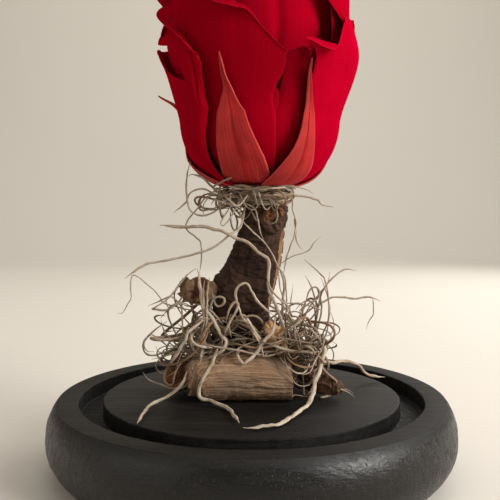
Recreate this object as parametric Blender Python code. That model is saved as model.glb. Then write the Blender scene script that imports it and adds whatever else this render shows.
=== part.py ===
"""Preserved rose head on a moss-wrapped branch, on a turned wooden dome base.

Sizes are in millimetres and become metres when each mesh is made. The origin is the
centre of the base's underside, +Z is up and -Y is the front. Azimuths are in degrees
about the rose's axis: 0 is the right side, -90 the front, 180 the left side.
"""
import math
from collections import namedtuple

import bmesh
import bpy
from mathutils import Vector, noise

MM = 0.001
GAP = 0.3

# Turned base with a ring groove for a glass dome
BASE_HEIGHT = 22.0
BASE_RADIUS = 65.0
BASE_TOP_DROP = 3.2
BASE_FOOT_DROP = 6.0
GROOVE_OUTER_RADIUS = 55.0
GROOVE_INNER_RADIUS = 47.5
GROOVE_DEPTH = 5.0
BASE_SEGMENTS = 40
BASE_SIDE_STEPS = 5

# Rose: its axis, its receptacle and the nest of shells that its petals lie on.
# A shell is a share from 0 (outermost) to 1 (the heart).
ROSE_X = 2.5
ROSE_Y = 0.0
HIP_BOTTOM = 84.4
SEAT_RADIUS = 7.5
SEAT_HEIGHT = 89.8
HEART_SEAT_RADIUS = 1.0
HEART_SEAT_HEIGHT = 105.8
WALL_RADIUS = 24.5
HEART_WALL_RADIUS = 2.2
CUP_TOP = 110.0
HEART_CUP_TOP = 118.0
CUP_ROUNDNESS = 2.15
FLARE = 7.3
FLARE_START = 108.0
HEART_FLARE_START = 130.0
FLARE_SPAN = 24.0
CUP_SHARE = 0.35
LIP_SHARE = 0.7
PETAL_THICKNESS = 0.5
SEPAL_THICKNESS = 0.6
EDGE_THINNING = 0.6
LIP_SINK = 0.25

# The bud's petals follow the golden angle from its outermost petal inwards
BUD_PETALS = 13
BUD_FIRST_SHELL = 0.27
BUD_SHELL_STEP = 0.058
BUD_FIRST_AZIMUTH = -72.0
GOLDEN_ANGLE = 137.5
BUD_REACH = 58.0
HEART_REACH = 92.0
BUD_CROWN = 154.5
HEART_CROWN = 151.0
BUD_LIP = 1.4
HEART_LIP = 0.2

# Hip: radius and height from its underside up to the seat of the petals
HIP_PROFILE = ((3.2, HIP_BOTTOM), (5.6, 86.0), (6.8, 88.0))
HIP_SEGMENTS = 12
MOSS_NECK_RADIUS = 9.0

# Moss: strands and roots are four-sided tubes, lumps are icospheres swollen by noise
STRAND_RADIUS = 0.75
ROOT_RADIUS = 1.0
STRAND_SIDES = 4
LUMP_SWELL = 0.12
LUMP_DETAIL = 2.3

# Wood: how fine the noise on its wall is, and how much a cutter stands off from it
BARK_DETAIL = 1.3
CUTTER_GROW = 2 * GAP

SMOOTH_ANGLE = 40.0

Petal = namedtuple("Petal", "name shell azimuth left right top lip belly")
Sepal = namedtuple("Sepal", "name shell azimuths half_widths tip_height stand_off")


def clear_scene():
    for old in list(bpy.data.objects):
        bpy.data.objects.remove(old, do_unlink=True)


def finish(name, colour, roughness, metallic=0.0):
    made = bpy.data.materials.new(name)
    made.use_nodes = True
    shader = made.node_tree.nodes["Principled BSDF"]
    shader.inputs["Base Color"].default_value = (*colour, 1.0)
    shader.inputs["Roughness"].default_value = roughness
    shader.inputs["Metallic"].default_value = metallic
    made.diffuse_color = (*colour, 1.0)
    return made


def add_object(name, verts, faces, look):
    """One closed mesh object from points in millimetres."""
    mesh = bpy.data.meshes.new(name)
    mesh.from_pydata([Vector(v) * MM for v in verts], [], faces)
    work = bmesh.new()
    work.from_mesh(mesh)
    bmesh.ops.recalc_face_normals(work, faces=work.faces)
    work.to_mesh(mesh)
    work.free()
    mesh.shade_smooth()
    mesh.set_sharp_from_angle(angle=math.radians(SMOOTH_ANGLE))
    if look:
        mesh.materials.append(look)
    made = bpy.data.objects.new(name, mesh)
    bpy.context.scene.collection.objects.link(made)
    return made


def mix(a, b, t):
    return a + (b - a) * t


def smoothstep(t):
    t = min(max(t, 0.0), 1.0)
    return t * t * (3.0 - 2.0 * t)


def along(values, t):
    """A smooth curve through evenly spaced values, read at t from 0 to 1."""
    place = min(max(t, 0.0), 1.0) * (len(values) - 1)
    i = min(int(place), len(values) - 2)
    f = place - i
    p1, p2 = values[i], values[i + 1]
    p0 = values[max(i - 1, 0)]
    p3 = values[min(i + 2, len(values) - 1)]
    bend = p0 * 2 - p1 * 5 + p2 * 4 - p3
    twist = p1 * 3 - p0 - p2 * 3 + p3
    return p1 + ((p2 - p0) * f + bend * f * f + twist * f * f * f) * 0.5


def smooth_path(points, steps):
    vectors = [Vector(p) for p in points]
    return [along(vectors, i / steps) for i in range(steps + 1)]


def lathe(profile, segments, centre=(0.0, 0.0)):
    """A closed turned body. The profile runs from the foot's edge to the top's edge."""
    verts = []
    for radius, height in profile:
        for k in range(segments):
            a = math.tau * k / segments
            verts.append((centre[0] + radius * math.cos(a), centre[1] + radius * math.sin(a), height))
    faces = []
    for i in range(len(profile) - 1):
        for k in range(segments):
            n = (k + 1) % segments
            low, high = i * segments, (i + 1) * segments
            faces.append((low + k, low + n, high + n, high + k))
    faces.append(tuple(reversed(range(segments))))
    last = (len(profile) - 1) * segments
    faces.append(tuple(range(last, last + segments)))
    return verts, faces


def loft(path, sides, radius_at):
    """A closed tube along a path. radius_at(t, angle) gives the wall's distance from it."""
    across = Vector((0.0, 1.0, 0.0))
    if abs((path[1] - path[0]).normalized().dot(across)) > 0.8:
        across = Vector((0.0, 0.0, 1.0))
    verts = []
    for i, point in enumerate(path):
        forward = (path[min(i + 1, len(path) - 1)] - path[max(i - 1, 0)]).normalized()
        across = (across - forward * across.dot(forward)).normalized()
        other = forward.cross(across)
        t = i / (len(path) - 1)
        for k in range(sides):
            a = math.tau * k / sides
            verts.append(point + (across * math.cos(a) + other * math.sin(a)) * radius_at(t, a))
    faces = []
    for i in range(len(path) - 1):
        for k in range(sides):
            n = (k + 1) % sides
            low, high = i * sides, (i + 1) * sides
            faces.append((low + k, low + n, high + n, high + k))
    faces.append(tuple(reversed(range(sides))))
    last = (len(path) - 1) * sides
    faces.append(tuple(range(last, last + sides)))
    return verts, faces


# Base

def base_profile():
    middle = BASE_HEIGHT / 2
    profile = []
    for i in range(2 * BASE_SIDE_STEPS + 1):
        share = math.sin(math.pi / 2 * (i - BASE_SIDE_STEPS) / BASE_SIDE_STEPS)
        drop = BASE_FOOT_DROP * share ** 2 if share < 0 else BASE_TOP_DROP * share ** 2.6
        profile.append((BASE_RADIUS - drop, middle + middle * share))
    floor = BASE_HEIGHT - GROOVE_DEPTH
    profile.append((GROOVE_OUTER_RADIUS, BASE_HEIGHT))
    profile.append((GROOVE_OUTER_RADIUS, floor))
    profile.append((GROOVE_INNER_RADIUS, floor))
    profile.append((GROOVE_INNER_RADIUS, BASE_HEIGHT))
    return profile


def make_base(look):
    verts, faces = lathe(base_profile(), BASE_SEGMENTS)
    return add_object("base", verts, faces, look)


# Wood: each piece is a loft, and grow swells it into the cutter that clears the moss

TRUNK_PATH = ((-2, 8.5, 22.3), (-2.5, 7.5, 32), (-3.5, 4.5, 44), (-3.5, 2.2, 54), (1, 0.6, 68), (4.3, 0, 82.6))
TRUNK_RADII = (7.6, 7.8, 8.4, 9.4, 7.4, 7.0)
ARM_PATH = ((-7, 1.5, 54), (-13, 0, 54.5), (-18, -1.8, 55.6), (-21.5, -3.6, 56))
ARM_RADII = (4.4, 4.3, 4.1, 4.2)
LOG_PATH = ((-19.5, -8.6, 28.6), (-15.5, -7.8, 28.9), (-6, -7.5, 29.1), (4, -7.5, 29.1), (12.6, -7.7, 29))
LOG_RADII = (3.6, 6.1, 6.8, 6.8, 6.6)
CHUNK_PATH = ((-15.5, 12.5, 28.4), (-20, 6, 27.8), (-24.5, -1, 27.2))
CHUNK_RADII = (4.6, 4.9, 4.8)
ROOT_PATH = ((17, 3, 27), (23, -3, 26.2), (28, -8, 25.6))
ROOT_RADII = (3.8, 3.6, 2.8)
FLAKE_PATH = ((9.2, -6.5, 36.5), (9.8, -7, 40), (9.4, -6.8, 44.5))
FLAKE_RADII = (1.2, 1.7, 1.1)


def wood_loft(path, radii, steps, sides, rough, squash=1.0, grow=0.0):
    """Rough wood: the wall wanders by rough and the section is squashed across the path."""
    points = smooth_path(path, steps)
    if grow:
        ends = (points[0] - points[1]).normalized(), (points[-1] - points[-2]).normalized()
        points[0] = points[0] + ends[0] * grow
        points[-1] = points[-1] + ends[1] * grow

    def radius_at(t, angle):
        base = along([float(r) for r in radii], t)
        seat = Vector((math.cos(angle), math.sin(angle), t * len(radii) + base))
        flat = mix(1.0, squash, abs(math.cos(angle)))
        return base * flat * (1.0 + rough * noise.noise(seat * BARK_DETAIL)) + grow

    verts, faces = loft(points, sides, radius_at)
    floor = BASE_HEIGHT + GAP - grow
    return [Vector((v.x, v.y, max(v.z, floor))) for v in verts], faces


WOOD = {
    "branch": dict(path=TRUNK_PATH, radii=TRUNK_RADII, steps=12, sides=12, rough=0.16, squash=0.9),
    "branch_arm": dict(path=ARM_PATH, radii=ARM_RADII, steps=5, sides=8, rough=0.2),
    "log": dict(path=LOG_PATH, radii=LOG_RADII, steps=8, sides=12, rough=0.05),
    "wood_chunk": dict(path=CHUNK_PATH, radii=CHUNK_RADII, steps=4, sides=9, rough=0.16),
    "root_piece": dict(path=ROOT_PATH, radii=ROOT_RADII, steps=4, sides=8, rough=0.2),
    "bark_flake": dict(path=FLAKE_PATH, radii=FLAKE_RADII, steps=3, sides=6, rough=0.1, squash=0.5),
}


def make_wood(name, look):
    verts, faces = wood_loft(**WOOD[name])
    return add_object(name, verts, faces, look)


def make_wood_cutter(name):
    verts, faces = wood_loft(**WOOD[name], grow=CUTTER_GROW)
    cutter = add_object(name + "_cutter", verts, faces, None)
    cutter.hide_render = True
    cutter.display_type = "WIRE"
    return cutter


# Rose

def meridian(shell, v, top):
    """Distance from the rose's axis and height, at share v of the way up a shell."""
    seat_radius = mix(SEAT_RADIUS, HEART_SEAT_RADIUS, shell)
    seat_height = mix(SEAT_HEIGHT, HEART_SEAT_HEIGHT, shell)
    wall = mix(WALL_RADIUS, HEART_WALL_RADIUS, shell)
    cup_top = mix(CUP_TOP, HEART_CUP_TOP, shell)
    if v < CUP_SHARE:
        turn = math.pi / 2 * v / CUP_SHARE
        out = math.sin(turn) ** (2.0 / CUP_ROUNDNESS)
        down = max(math.cos(turn), 0.0) ** (2.0 / CUP_ROUNDNESS)
        return mix(seat_radius, wall, out), mix(cup_top, seat_height, down)
    height = mix(cup_top, top, (v - CUP_SHARE) / (1.0 - CUP_SHARE))
    flare_start = mix(FLARE_START, HEART_FLARE_START, shell)
    flare = FLARE * max(1.0 - shell, 0.0) ** 1.2
    return wall + flare * smoothstep((height - flare_start) / FLARE_SPAN), height


def rose_point(radius, azimuth, height):
    a = math.radians(azimuth)
    return Vector((ROSE_X + radius * math.cos(a), ROSE_Y + radius * math.sin(a), height))


def petal_point(petal, u, v):
    """A point of a petal's middle sheet: u runs from its left edge to its right, v upwards."""
    across = (u + 1.0) / 2.0
    top = along(petal.top, across)
    radius, height = meridian(petal.shell, v, top)
    curl = max(v - LIP_SHARE, 0.0) / (1.0 - LIP_SHARE)
    lip = along(petal.lip, across)
    radius += lip * curl ** 2
    height -= abs(lip) * LIP_SINK * curl ** 3
    radius += petal.belly * (1.0 - u * u) * math.sin(math.pi * v) ** 2
    azimuth = petal.azimuth + mix(-along(petal.left, v), along(petal.right, v), across)
    return rose_point(radius, azimuth, height)


def sepal_point(sepal, u, v):
    radius, height = meridian(sepal.shell, v, sepal.tip_height)
    radius += along(sepal.stand_off, v)
    half = along(sepal.half_widths, v)
    return rose_point(radius, along(sepal.azimuths, v) + math.degrees(half * u / radius), height)


def sheet(point_at, columns, rows, thickness):
    """A closed thin body on both sides of the sheet point_at(u, v)."""
    step = 0.02
    sides = ([], [])
    for j in range(rows + 1):
        for i in range(columns + 1):
            u, v = 2.0 * i / columns - 1.0, j / rows
            ahead, behind = min(v + step, 1.0), max(v - step, 0.0)
            up = point_at(u, ahead) - point_at(u, behind)
            right, left = min(u + step, 1.0), max(u - step, -1.0)
            over = point_at(right, v) - point_at(left, v)
            normal = over.cross(up).normalized()
            thin = EDGE_THINNING if i in (0, columns) or j == rows else 1.0
            point = point_at(u, v)
            sides[0].append(point + normal * thickness * thin / 2)
            sides[1].append(point - normal * thickness * thin / 2)
    count = len(sides[0])
    width = columns + 1
    faces = []
    for j in range(rows):
        for i in range(columns):
            a, b = j * width + i, j * width + i + 1
            faces.append((a, b, b + width, a + width))
            faces.append((count + a + width, count + b + width, count + b, count + a))
    loop = list(range(columns)) + [j * width + columns for j in range(rows)]
    loop += [rows * width + i for i in range(columns, 0, -1)] + [j * width for j in range(rows, 0, -1)]
    for k, a in enumerate(loop):
        b = loop[(k + 1) % len(loop)]
        faces.append((b, a, count + a, count + b))
    return sides[0] + sides[1], faces


# The outer petals as they are seen from the front, the outermost first. left and right
# are the edges' reach in degrees from the azimuth, from the seat up; top and lip run from
# the left edge to the right one.
OUTER_PETALS = (
    Petal("petal_front_left", -0.03, -135, (7, 9.5, 4, 4.5, 24), (6, 2, 10.5, 10, 5),
          (137, 135.5, 133.5, 130.5, 125), (1.5, 1.5, 1, 0.5, 0), 1.2),
    Petal("petal_right", 0.02, -15, (34, 34, 42, 45, 47), (34, 40, 46, 46, 36),
          (127, 136, 141, 142, 137), (2, 0.5, -1, -1, 1), 1.4),
    Petal("petal_back", 0.0, 81, (34, 44, 48, 48, 38), (34, 44, 48, 48, 38),
          (137, 142, 144, 143, 138), (2, 2.5, 2, 2.5, 2), 0),
    Petal("petal_left", 0.03, 180, (34, 44, 47, 47, 40), (30, 38, 42, 43, 38),
          (133, 135, 132, 122.5, 113), (1.5, 1.5, 1.5, 1, 0.5), 0),
    Petal("petal_right_back", 0.11, 34, (30, 38, 42, 42, 34), (30, 38, 42, 42, 34),
          (140, 146, 147, 146, 141), (1, 2, 2, 2, 1), 0),
    Petal("petal_front", 0.075, -103, (32, 34, 34, 34, 30), (30, 25, 21.5, 27, 28),
          (138, 141, 139, 132, 126.5), (1, 2, 1.5, 0.5, 0), 0),
    Petal("petal_front_inner", 0.125, -98, (20, 20, 20, 20, 16), (20, 20, 20.5, 20.5, 14),
          (119, 124, 125, 124, 119), (0, 0, 0, 0, 0), 0),
    Petal("petal_middle", 0.185, -66, (24, 24, 26, 24, 18), (20, 15, 16, 14.5, 9),
          (126, 128, 128.7, 128.6, 127), (0, 0, 0, 0.3, 0.5), 0.6),
    Petal("petal_left_wavy", 0.09, 165, (30, 36, 40, 40, 36), (24, 34, 38, 38, 34),
          (144, 148, 147, 144, 140), (2, 4, 4.5, 4.5, 2.5), 0),
    Petal("petal_right_inner", 0.18, -4, (20, 24, 26, 32, 40), (24, 32, 36, 36, 30),
          (146, 150, 151, 150, 146), (2, 2, 1.5, 1.5, 1), 0),
    Petal("petal_left_inner", 0.175, -140, (30, 38, 42, 42, 36), (30, 38, 40, 38, 32),
          (147, 150, 151, 149, 145), (1.5, 2, 2, 2, 1), 0),
    Petal("petal_back_inner", 0.17, 94, (34, 40, 44, 44, 38), (34, 40, 44, 44, 38),
          (147, 150, 151, 150, 147), (1.5, 2, 2, 2, 1), 0),
)

# Sepals: azimuth and half width from the hip to the thread-like tip
SEPALS = (
    Sepal("sepal_front", 0.02, (-105, -106, -109.5, -110, -112, -112), (5.0, 6.9, 3.3, 1.4, 0.6, 0.35),
          126, (0, 0, 0, 0, 0.1, 0.3)),
    Sepal("sepal_front_right", -0.035, (-64, -57.5, -55.5, -58.5, -62, -64), (4.6, 4.9, 1.2, 0.6, 0.5, 0.35),
          126, (0, 0, 0, 0.2, 0.3, 0.8)),
    Sepal("sepal_left", -0.095, (-150, -170, -191, -197, -199, -200), (4.4, 6.4, 4.0, 2.2, 0.9, 0.35),
          118, (0, 0, 0, 0.6, 2.8, 5.6)),
    Sepal("sepal_right_back", -0.08, (30, 32, 34, 35, 36, 36), (4.4, 6.4, 4.6, 2.6, 1.0, 0.35),
          124, (0, 0, 0, 0, 0.5, 1.5)),
    Sepal("sepal_back", -0.07, (96, 97, 98, 98, 98, 98), (4.4, 6.4, 4.6, 2.6, 1.0, 0.35),
          125, (0, 0, 0, 0, 0.5, 1.5)),
)


def bud_petals():
    """The bud's petals close up towards the heart: wider round it, and a little lower."""
    made = []
    for k in range(BUD_PETALS):
        inwards = k / (BUD_PETALS - 1)
        shell = BUD_FIRST_SHELL + BUD_SHELL_STEP * k
        wide = mix(BUD_REACH, HEART_REACH, inwards)
        reach = (wide * 0.6, wide * 0.85, wide, wide, wide * 0.85)
        crown = mix(BUD_CROWN, HEART_CROWN, inwards)
        top = (crown - 3.5, crown - 0.6, crown, crown - 0.6, crown - 3.5)
        roll = mix(BUD_LIP, HEART_LIP, inwards)
        azimuth = BUD_FIRST_AZIMUTH + GOLDEN_ANGLE * k
        made.append(Petal(f"bud_petal_{k + 1:02d}", shell, azimuth, reach, reach, top, (roll,) * 5, 0))
    return made


def make_receptacle(look):
    rim = ((SEAT_RADIUS - GAP, SEAT_HEIGHT - 2 * GAP), (SEAT_RADIUS - GAP, SEAT_HEIGHT))
    tip = (HEART_SEAT_RADIUS - GAP, HEART_SEAT_HEIGHT)
    verts, faces = lathe((*HIP_PROFILE, *rim, tip), HIP_SEGMENTS, (ROSE_X, ROSE_Y))
    return add_object("receptacle", verts, faces, look)


def make_petal(petal, look, columns, rows):
    verts, faces = sheet(lambda u, v: petal_point(petal, u, v), columns, rows, PETAL_THICKNESS)
    return add_object(petal.name, verts, faces, look)


def make_sepal(sepal, look):
    verts, faces = sheet(lambda u, v: sepal_point(sepal, u, v), 4, 7, SEPAL_THICKNESS)
    return add_object(sepal.name, verts, faces, look)


# Moss: lumps of tangled strands, with the strands that stand out of them. A lump is its
# centre and its three radii; a route is a list of points from the tip into the lump.

TANGLE_LUMPS = (
    ((-19, 3, 38), (9, 11, 16)),
    ((0, -6, 40), (17, 6, 6.5)),
    ((17, 2, 42), (8.5, 10, 17)),
    ((0, 12.5, 32), (21, 8, 12)),
)
COLLAR_LUMPS = (
    ((-3.5, -3, 84.5), (8, 7.5, 3.6)),
    ((9, -3, 84.5), (6.5, 7.5, 3.6)),
    ((3, 5, 84.5), (10, 6, 3.6)),
)
TANGLE_STRANDS = (
    ((16.5, -5, 66.3), (21, -6, 62), (23.9, -7, 56), (24.2, -7, 48), (22.3, -6.5, 42.6), (19, -3, 38)),
    ((34, 0, 62.2), (30.4, 0, 62.6), (27, -2, 60.7), (24, -4, 58.2), (21, -5, 50.3), (18, -2, 46)),
    ((41.7, 0, 52.4), (38.1, 0, 53.7), (33.3, 0, 53), (30, 0, 53.7), (26, 0, 53.3), (19, 0, 50)),
    ((37.2, 0, 43), (39.7, 0, 48.5), (39.2, 0, 53.3)),
    ((-43.2, -2, 48.8), (-40, -2, 51.3), (-39, -2, 57.1), (-37.8, -2, 60.8), (-32.4, -2, 56.8),
     (-28.2, -1, 51.7), (-22, 0, 48)),
    ((-33.3, -3, 51.1), (-26.3, -3.5, 52.2), (-20, -1, 48)),
    ((-27.1, -3, 46.1), (-34.3, -3, 40), (-33.8, -3, 35.6), (-27.8, -3, 35.9), (-21, -1, 36)),
    ((-4.8, -10, 54.6), (-3.6, -10, 50.2), (-1.7, -10, 46.8), (1.3, -9, 42.2)),
)
TANGLE_ROOTS = (
    ((-2.5, -41, 23.4), (8, -36, 23.4), (15, -24, 23.6), (18, -18, 25), (20.5, -12.5, 29), (23, -6, 37),
     (19, -1, 40)),
    ((46.5, 16.4, 23.6), (40, 14, 25.4), (34.5, 10, 30), (27, 4, 31), (19, 2, 33)),
    ((-34.3, -6, 30), (-29.3, -7.5, 26.8), (-22, -9.8, 29.5), (-18, -5.5, 34.5)),
    ((-31.5, -36.5, 23.4), (-30.5, -20, 23.6), (-25.4, -13, 24.8), (-21.4, -12.6, 30), (-18, -7, 37)),
    ((-3.5, -36, 23.4), (-8, -20, 23.6), (-15, -17, 24.6), (-16, -15.6, 30), (-12, -10.5, 36.4),
     (-9, -6, 39)),
)
COLLAR_STRANDS = (
    ((-20.5, -8, 96.5), (-21, -7, 88), (-19.5, -6, 82), (-16, -7, 80), (-11, -6, 81.5), (-6, -3, 84)),
    ((-25, -3, 81), (-21, -4, 84), (-17, -6, 87.2), (-13, -6, 86.6), (-6, -3, 85)),
    ((-16, -5, 65.5), (-16, -5, 70), (-20.5, -5, 76.5), (-18, -5, 81), (-13, -4, 84.5), (-5, -3, 85)),
    ((5.4, -9.8, 58), (5, -9.5, 66), (-1.5, -10, 71.7), (-6, -10, 77), (-4, -6, 83)),
    ((-40.3, -5, 60), (-32, -5, 65), (-20, -6, 67.4), (-12, -9, 70.5), (-8, -9.5, 74), (-4, -8.5, 79.5),
     (-2, -4, 84)),
    ((26, -5, 82.7), (21, -5, 85), (14, -5, 86), (8, -3, 85)),
    ((22, -3, 73.2), (18, -4, 68.8), (13.5, -5, 69.5), (14, -4.5, 77.6), (12.3, -4, 84)),
)


def lump(name, centre, radii):
    """A lumpy ball of moss that stops short of the base's top."""
    work = bmesh.new()
    bmesh.ops.create_icosphere(work, subdivisions=2, radius=1.0)
    floor = BASE_HEIGHT + GAP
    for vert in work.verts:
        swell = 1.0 + LUMP_SWELL * noise.noise(vert.co * LUMP_DETAIL + Vector(centre))
        place = Vector([c + r * swell * d for c, r, d in zip(centre, radii, vert.co)])
        vert.co = Vector((place.x, place.y, max(place.z, floor)))
    verts = [v.co.copy() for v in work.verts]
    faces = [tuple(v.index for v in f.verts) for f in work.faces]
    work.free()
    return add_object(name, verts, faces, None)


def strand(name, route, radius):
    path = smooth_path(route, len(route) + 2)
    verts, faces = loft(path, STRAND_SIDES, lambda t, angle: radius * mix(0.8, 1.15, t))
    return add_object(name, verts, faces, None)


def combine(target, others, operation, solver):
    """Join or cut target by each of the others in turn, and keep the result as its mesh."""
    for other in others:
        step = target.modifiers.new(operation.lower(), "BOOLEAN")
        step.operation = operation
        step.solver = solver
        step.object = other
    bpy.context.view_layer.update()
    graph = bpy.context.evaluated_depsgraph_get()
    result = bpy.data.meshes.new_from_object(target.evaluated_get(graph))
    target.modifiers.clear()
    target.data = result
    for other in others:
        bpy.data.objects.remove(other, do_unlink=True)


def keep_largest_body(target):
    """Crumbs that the cutters leave free of the tangle are dropped."""
    work = bmesh.new()
    work.from_mesh(target.data)
    bodies = []
    left = set(work.verts)
    while left:
        body = {left.pop()}
        edge = list(body)
        while edge:
            near = edge.pop()
            for link in near.link_edges:
                other = link.other_vert(near)
                if other in left:
                    left.remove(other)
                    body.add(other)
                    edge.append(other)
        bodies.append(body)
    largest = max(bodies, key=len)
    crumbs = [v for v in work.verts if v not in largest]
    bmesh.ops.delete(work, geom=crumbs, context="VERTS")
    bmesh.ops.triangulate(work, faces=work.faces)
    bmesh.ops.recalc_face_normals(work, faces=work.faces)
    work.to_mesh(target.data)
    work.free()


def make_moss(name, lumps, routes, cutters, look):
    """routes are (route, radius) pairs."""
    target = lump(name, *lumps[0])
    pieces = [lump(f"{name}_lump_{i}", *spec) for i, spec in enumerate(lumps[1:])]
    pieces += [strand(f"{name}_strand_{i}", route, radius) for i, (route, radius) in enumerate(routes)]
    combine(target, pieces, "UNION", "MANIFOLD")
    combine(target, cutters, "DIFFERENCE", "MANIFOLD")
    keep_largest_body(target)
    target.data.materials.clear()
    target.data.materials.append(look)
    return target


def make_hip_cutter():
    profile = [(radius + GAP, height) for radius, height in HIP_PROFILE]
    profile[0] = (profile[0][0], HIP_BOTTOM - CUTTER_GROW)
    profile += [(MOSS_NECK_RADIUS, SEAT_HEIGHT - 1.0), (MOSS_NECK_RADIUS, SEAT_HEIGHT + 2.0)]
    verts, faces = lathe(profile, HIP_SEGMENTS, (ROSE_X, ROSE_Y))
    cutter = add_object("hip_cutter", verts, faces, None)
    cutter.hide_render = True
    cutter.display_type = "WIRE"
    return cutter


def trim_arm(arm):
    """The side arm stops at the branch that it grows from."""
    combine(arm, [make_wood_cutter("branch")], "DIFFERENCE", "EXACT")
    keep_largest_body(arm)


def main():
    clear_scene()
    stained = finish("black_stained_wood", (0.035, 0.033, 0.030), 0.5)
    bark = finish("dark_bark", (0.060, 0.038, 0.028), 0.85)
    peeled = finish("peeled_wood", (0.30, 0.19, 0.11), 0.75)
    rusty = finish("rusty_bark", (0.30, 0.12, 0.05), 0.8)
    crimson = finish("crimson_petal", (0.36, 0.002, 0.012), 0.5)
    brick = finish("brick_red_sepal", (0.42, 0.045, 0.030), 0.6)
    dried = finish("dried_moss", (0.40, 0.33, 0.24), 0.85)

    make_base(stained)
    looks = {"log": peeled, "root_piece": peeled, "wood_chunk": rusty, "bark_flake": rusty}
    for name in WOOD:
        piece = make_wood(name, looks.get(name, bark))
        if name == "branch_arm":
            trim_arm(piece)
    make_receptacle(brick)
    for petal in OUTER_PETALS:
        make_petal(petal, crimson, 7, 6)
    for petal in bud_petals():
        make_petal(petal, crimson, 6, 5)
    for sepal in SEPALS:
        make_sepal(sepal, brick)

    routes = [(route, STRAND_RADIUS) for route in TANGLE_STRANDS]
    routes += [(route, ROOT_RADIUS) for route in TANGLE_ROOTS]
    cutters = [make_wood_cutter(name) for name in WOOD]
    make_moss("moss_tangle", TANGLE_LUMPS, routes, cutters, dried)
    routes = [(route, STRAND_RADIUS) for route in COLLAR_STRANDS]
    cutters = [make_wood_cutter("branch"), make_wood_cutter("branch_arm"), make_hip_cutter()]
    make_moss("moss_collar", COLLAR_LUMPS, routes, cutters, dried)


main()
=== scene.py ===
"""Fine model and finishes of a preserved rose on a moss-wrapped branch and a turned base.

Lengths in the tables are millimetres and become metres when each mesh is made. +Z is up
and -Y is the front. Azimuths are in degrees about the rose's axis: 0 is the right side,
-90 the front and 180 the left side.
"""
import math
import random
from collections import namedtuple
from dataclasses import dataclass
from functools import partial

import bmesh
import bpy
import numpy as np
from bpy.props import FloatProperty, FloatVectorProperty, IntProperty, PointerProperty
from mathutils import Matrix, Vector, noise


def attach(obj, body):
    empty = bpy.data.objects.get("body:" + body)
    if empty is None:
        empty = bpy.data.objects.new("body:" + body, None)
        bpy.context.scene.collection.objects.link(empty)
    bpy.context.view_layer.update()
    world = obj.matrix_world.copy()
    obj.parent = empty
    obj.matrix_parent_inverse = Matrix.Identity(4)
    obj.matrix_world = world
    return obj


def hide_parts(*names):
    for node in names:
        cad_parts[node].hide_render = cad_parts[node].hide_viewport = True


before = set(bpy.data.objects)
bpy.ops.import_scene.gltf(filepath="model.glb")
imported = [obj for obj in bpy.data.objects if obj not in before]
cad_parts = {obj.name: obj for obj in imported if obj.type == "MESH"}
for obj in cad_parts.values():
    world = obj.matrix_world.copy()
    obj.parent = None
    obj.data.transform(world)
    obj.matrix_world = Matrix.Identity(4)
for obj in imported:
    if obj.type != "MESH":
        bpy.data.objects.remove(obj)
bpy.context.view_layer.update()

bl_info = {
    "name": "Preserved rose",
    "version": (1, 0, 0),
    "blender": (4, 5, 0),
    "location": "3D View > Sidebar > Rose",
    "description": "Builds a preserved rose on a moss-wrapped branch and a turned base",
    "category": "Add Mesh",
}

MM = 0.001
TAU = math.tau

BASE_TOP = 22.0
BASE_RADIUS = 65.0
BASE_TOP_DROP = 3.2
BASE_FOOT_DROP = 6.0
GROOVE_OUTER_RADIUS = 55.0
GROOVE_INNER_RADIUS = 47.5
GROOVE_DEPTH = 5.0
GROOVE_EDGE = 0.45
GROOVE_WEAR = 0.24
END_GRAIN_WEAR = 0.26
END_GRAIN_START = 36.0
END_GRAIN_SPAN = 24.0
WEAR_MARGIN = 0.6
WEAR_TOP_GAP = 0.3
BASE_FOOT_BEVEL = 0.6
BASE_TOP_ROUNDNESS = 2.6
BASE_SIDE_STEPS = 24
GROOVE_EDGE_STEPS = 4
GROOVE_FLOOR_STEPS = 6
SHARP_DEGREES = 50.0
REST_GAP = 0.05
# Where the side's material, glossier and with a darker painted shade, begins on the base: outside the groove
# and below the top
SIDE_LOOK_MARGIN = 1.0
SIDE_LOOK_DROP = 0.1
# Heights between which the side turns smooth, and distances from the middle between which its end
# grain shows more and more, in metres
SIDE_LOOK_HEIGHTS = (0.0217, 0.0188)
END_GRAIN_REACH = (0.034, 0.058)

ROSE_X = 2.5
SEAT_RADIUS = 7.5
SEAT_HEIGHT = 89.8
HEART_SEAT_RADIUS = 1.0
HEART_SEAT_HEIGHT = 105.8
WALL_RADIUS = 24.5
HEART_WALL_RADIUS = 2.2
CUP_TOP = 110.0
HEART_CUP_TOP = 118.0
CUP_ROUNDNESS = 2.15
FLARE = 7.3
FLARE_START = 108.0
HEART_FLARE_START = 130.0
FLARE_SPAN = 24.0
CUP_SHARE = 0.35
LIP_SHARE = 0.7
ROLL_END = 2.7
BUD_PETALS = 13
GOLDEN_ANGLE = 137.5
# Columns and rows of a sheet's grid
OUTER_PETAL_GRID = (64, 84)
BUD_PETAL_GRID = (56, 60)
SEPAL_GRID = (22, 70)
# How much closer a sheet's rows lie near its rim, its thickness there, and how fast it thins
ROW_CROWDING = 1.3
RIM_THICKNESS = 0.35
EDGE_THINNING = 14.0

# Where the draws of each group start
SEED_STEP = 10
OUTER_PETAL_SEED = 100
BUD_PETAL_SEED = 400
SEPAL_SEED = 700
MOSS_SEED = 900

# The camera in metres and degrees, and the floor that sweeps up behind the object in metres
CAMERA_PLACE = (-0.000516, -0.226415, 0.08053)
CAMERA_DOWNWARDS = 2.95
CAMERA_LENS = 50.4
CAMERA_SENSOR = 36.0
FLOOR_HALF_WIDTH = 6.0
FLOOR_MIDDLE_ROW = -1.5
SWEEP_START = 0.9
SWEEP_RADIUS = 0.6
SWEEP_STEPS = 12
WALL_TOP = 2.2
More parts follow.
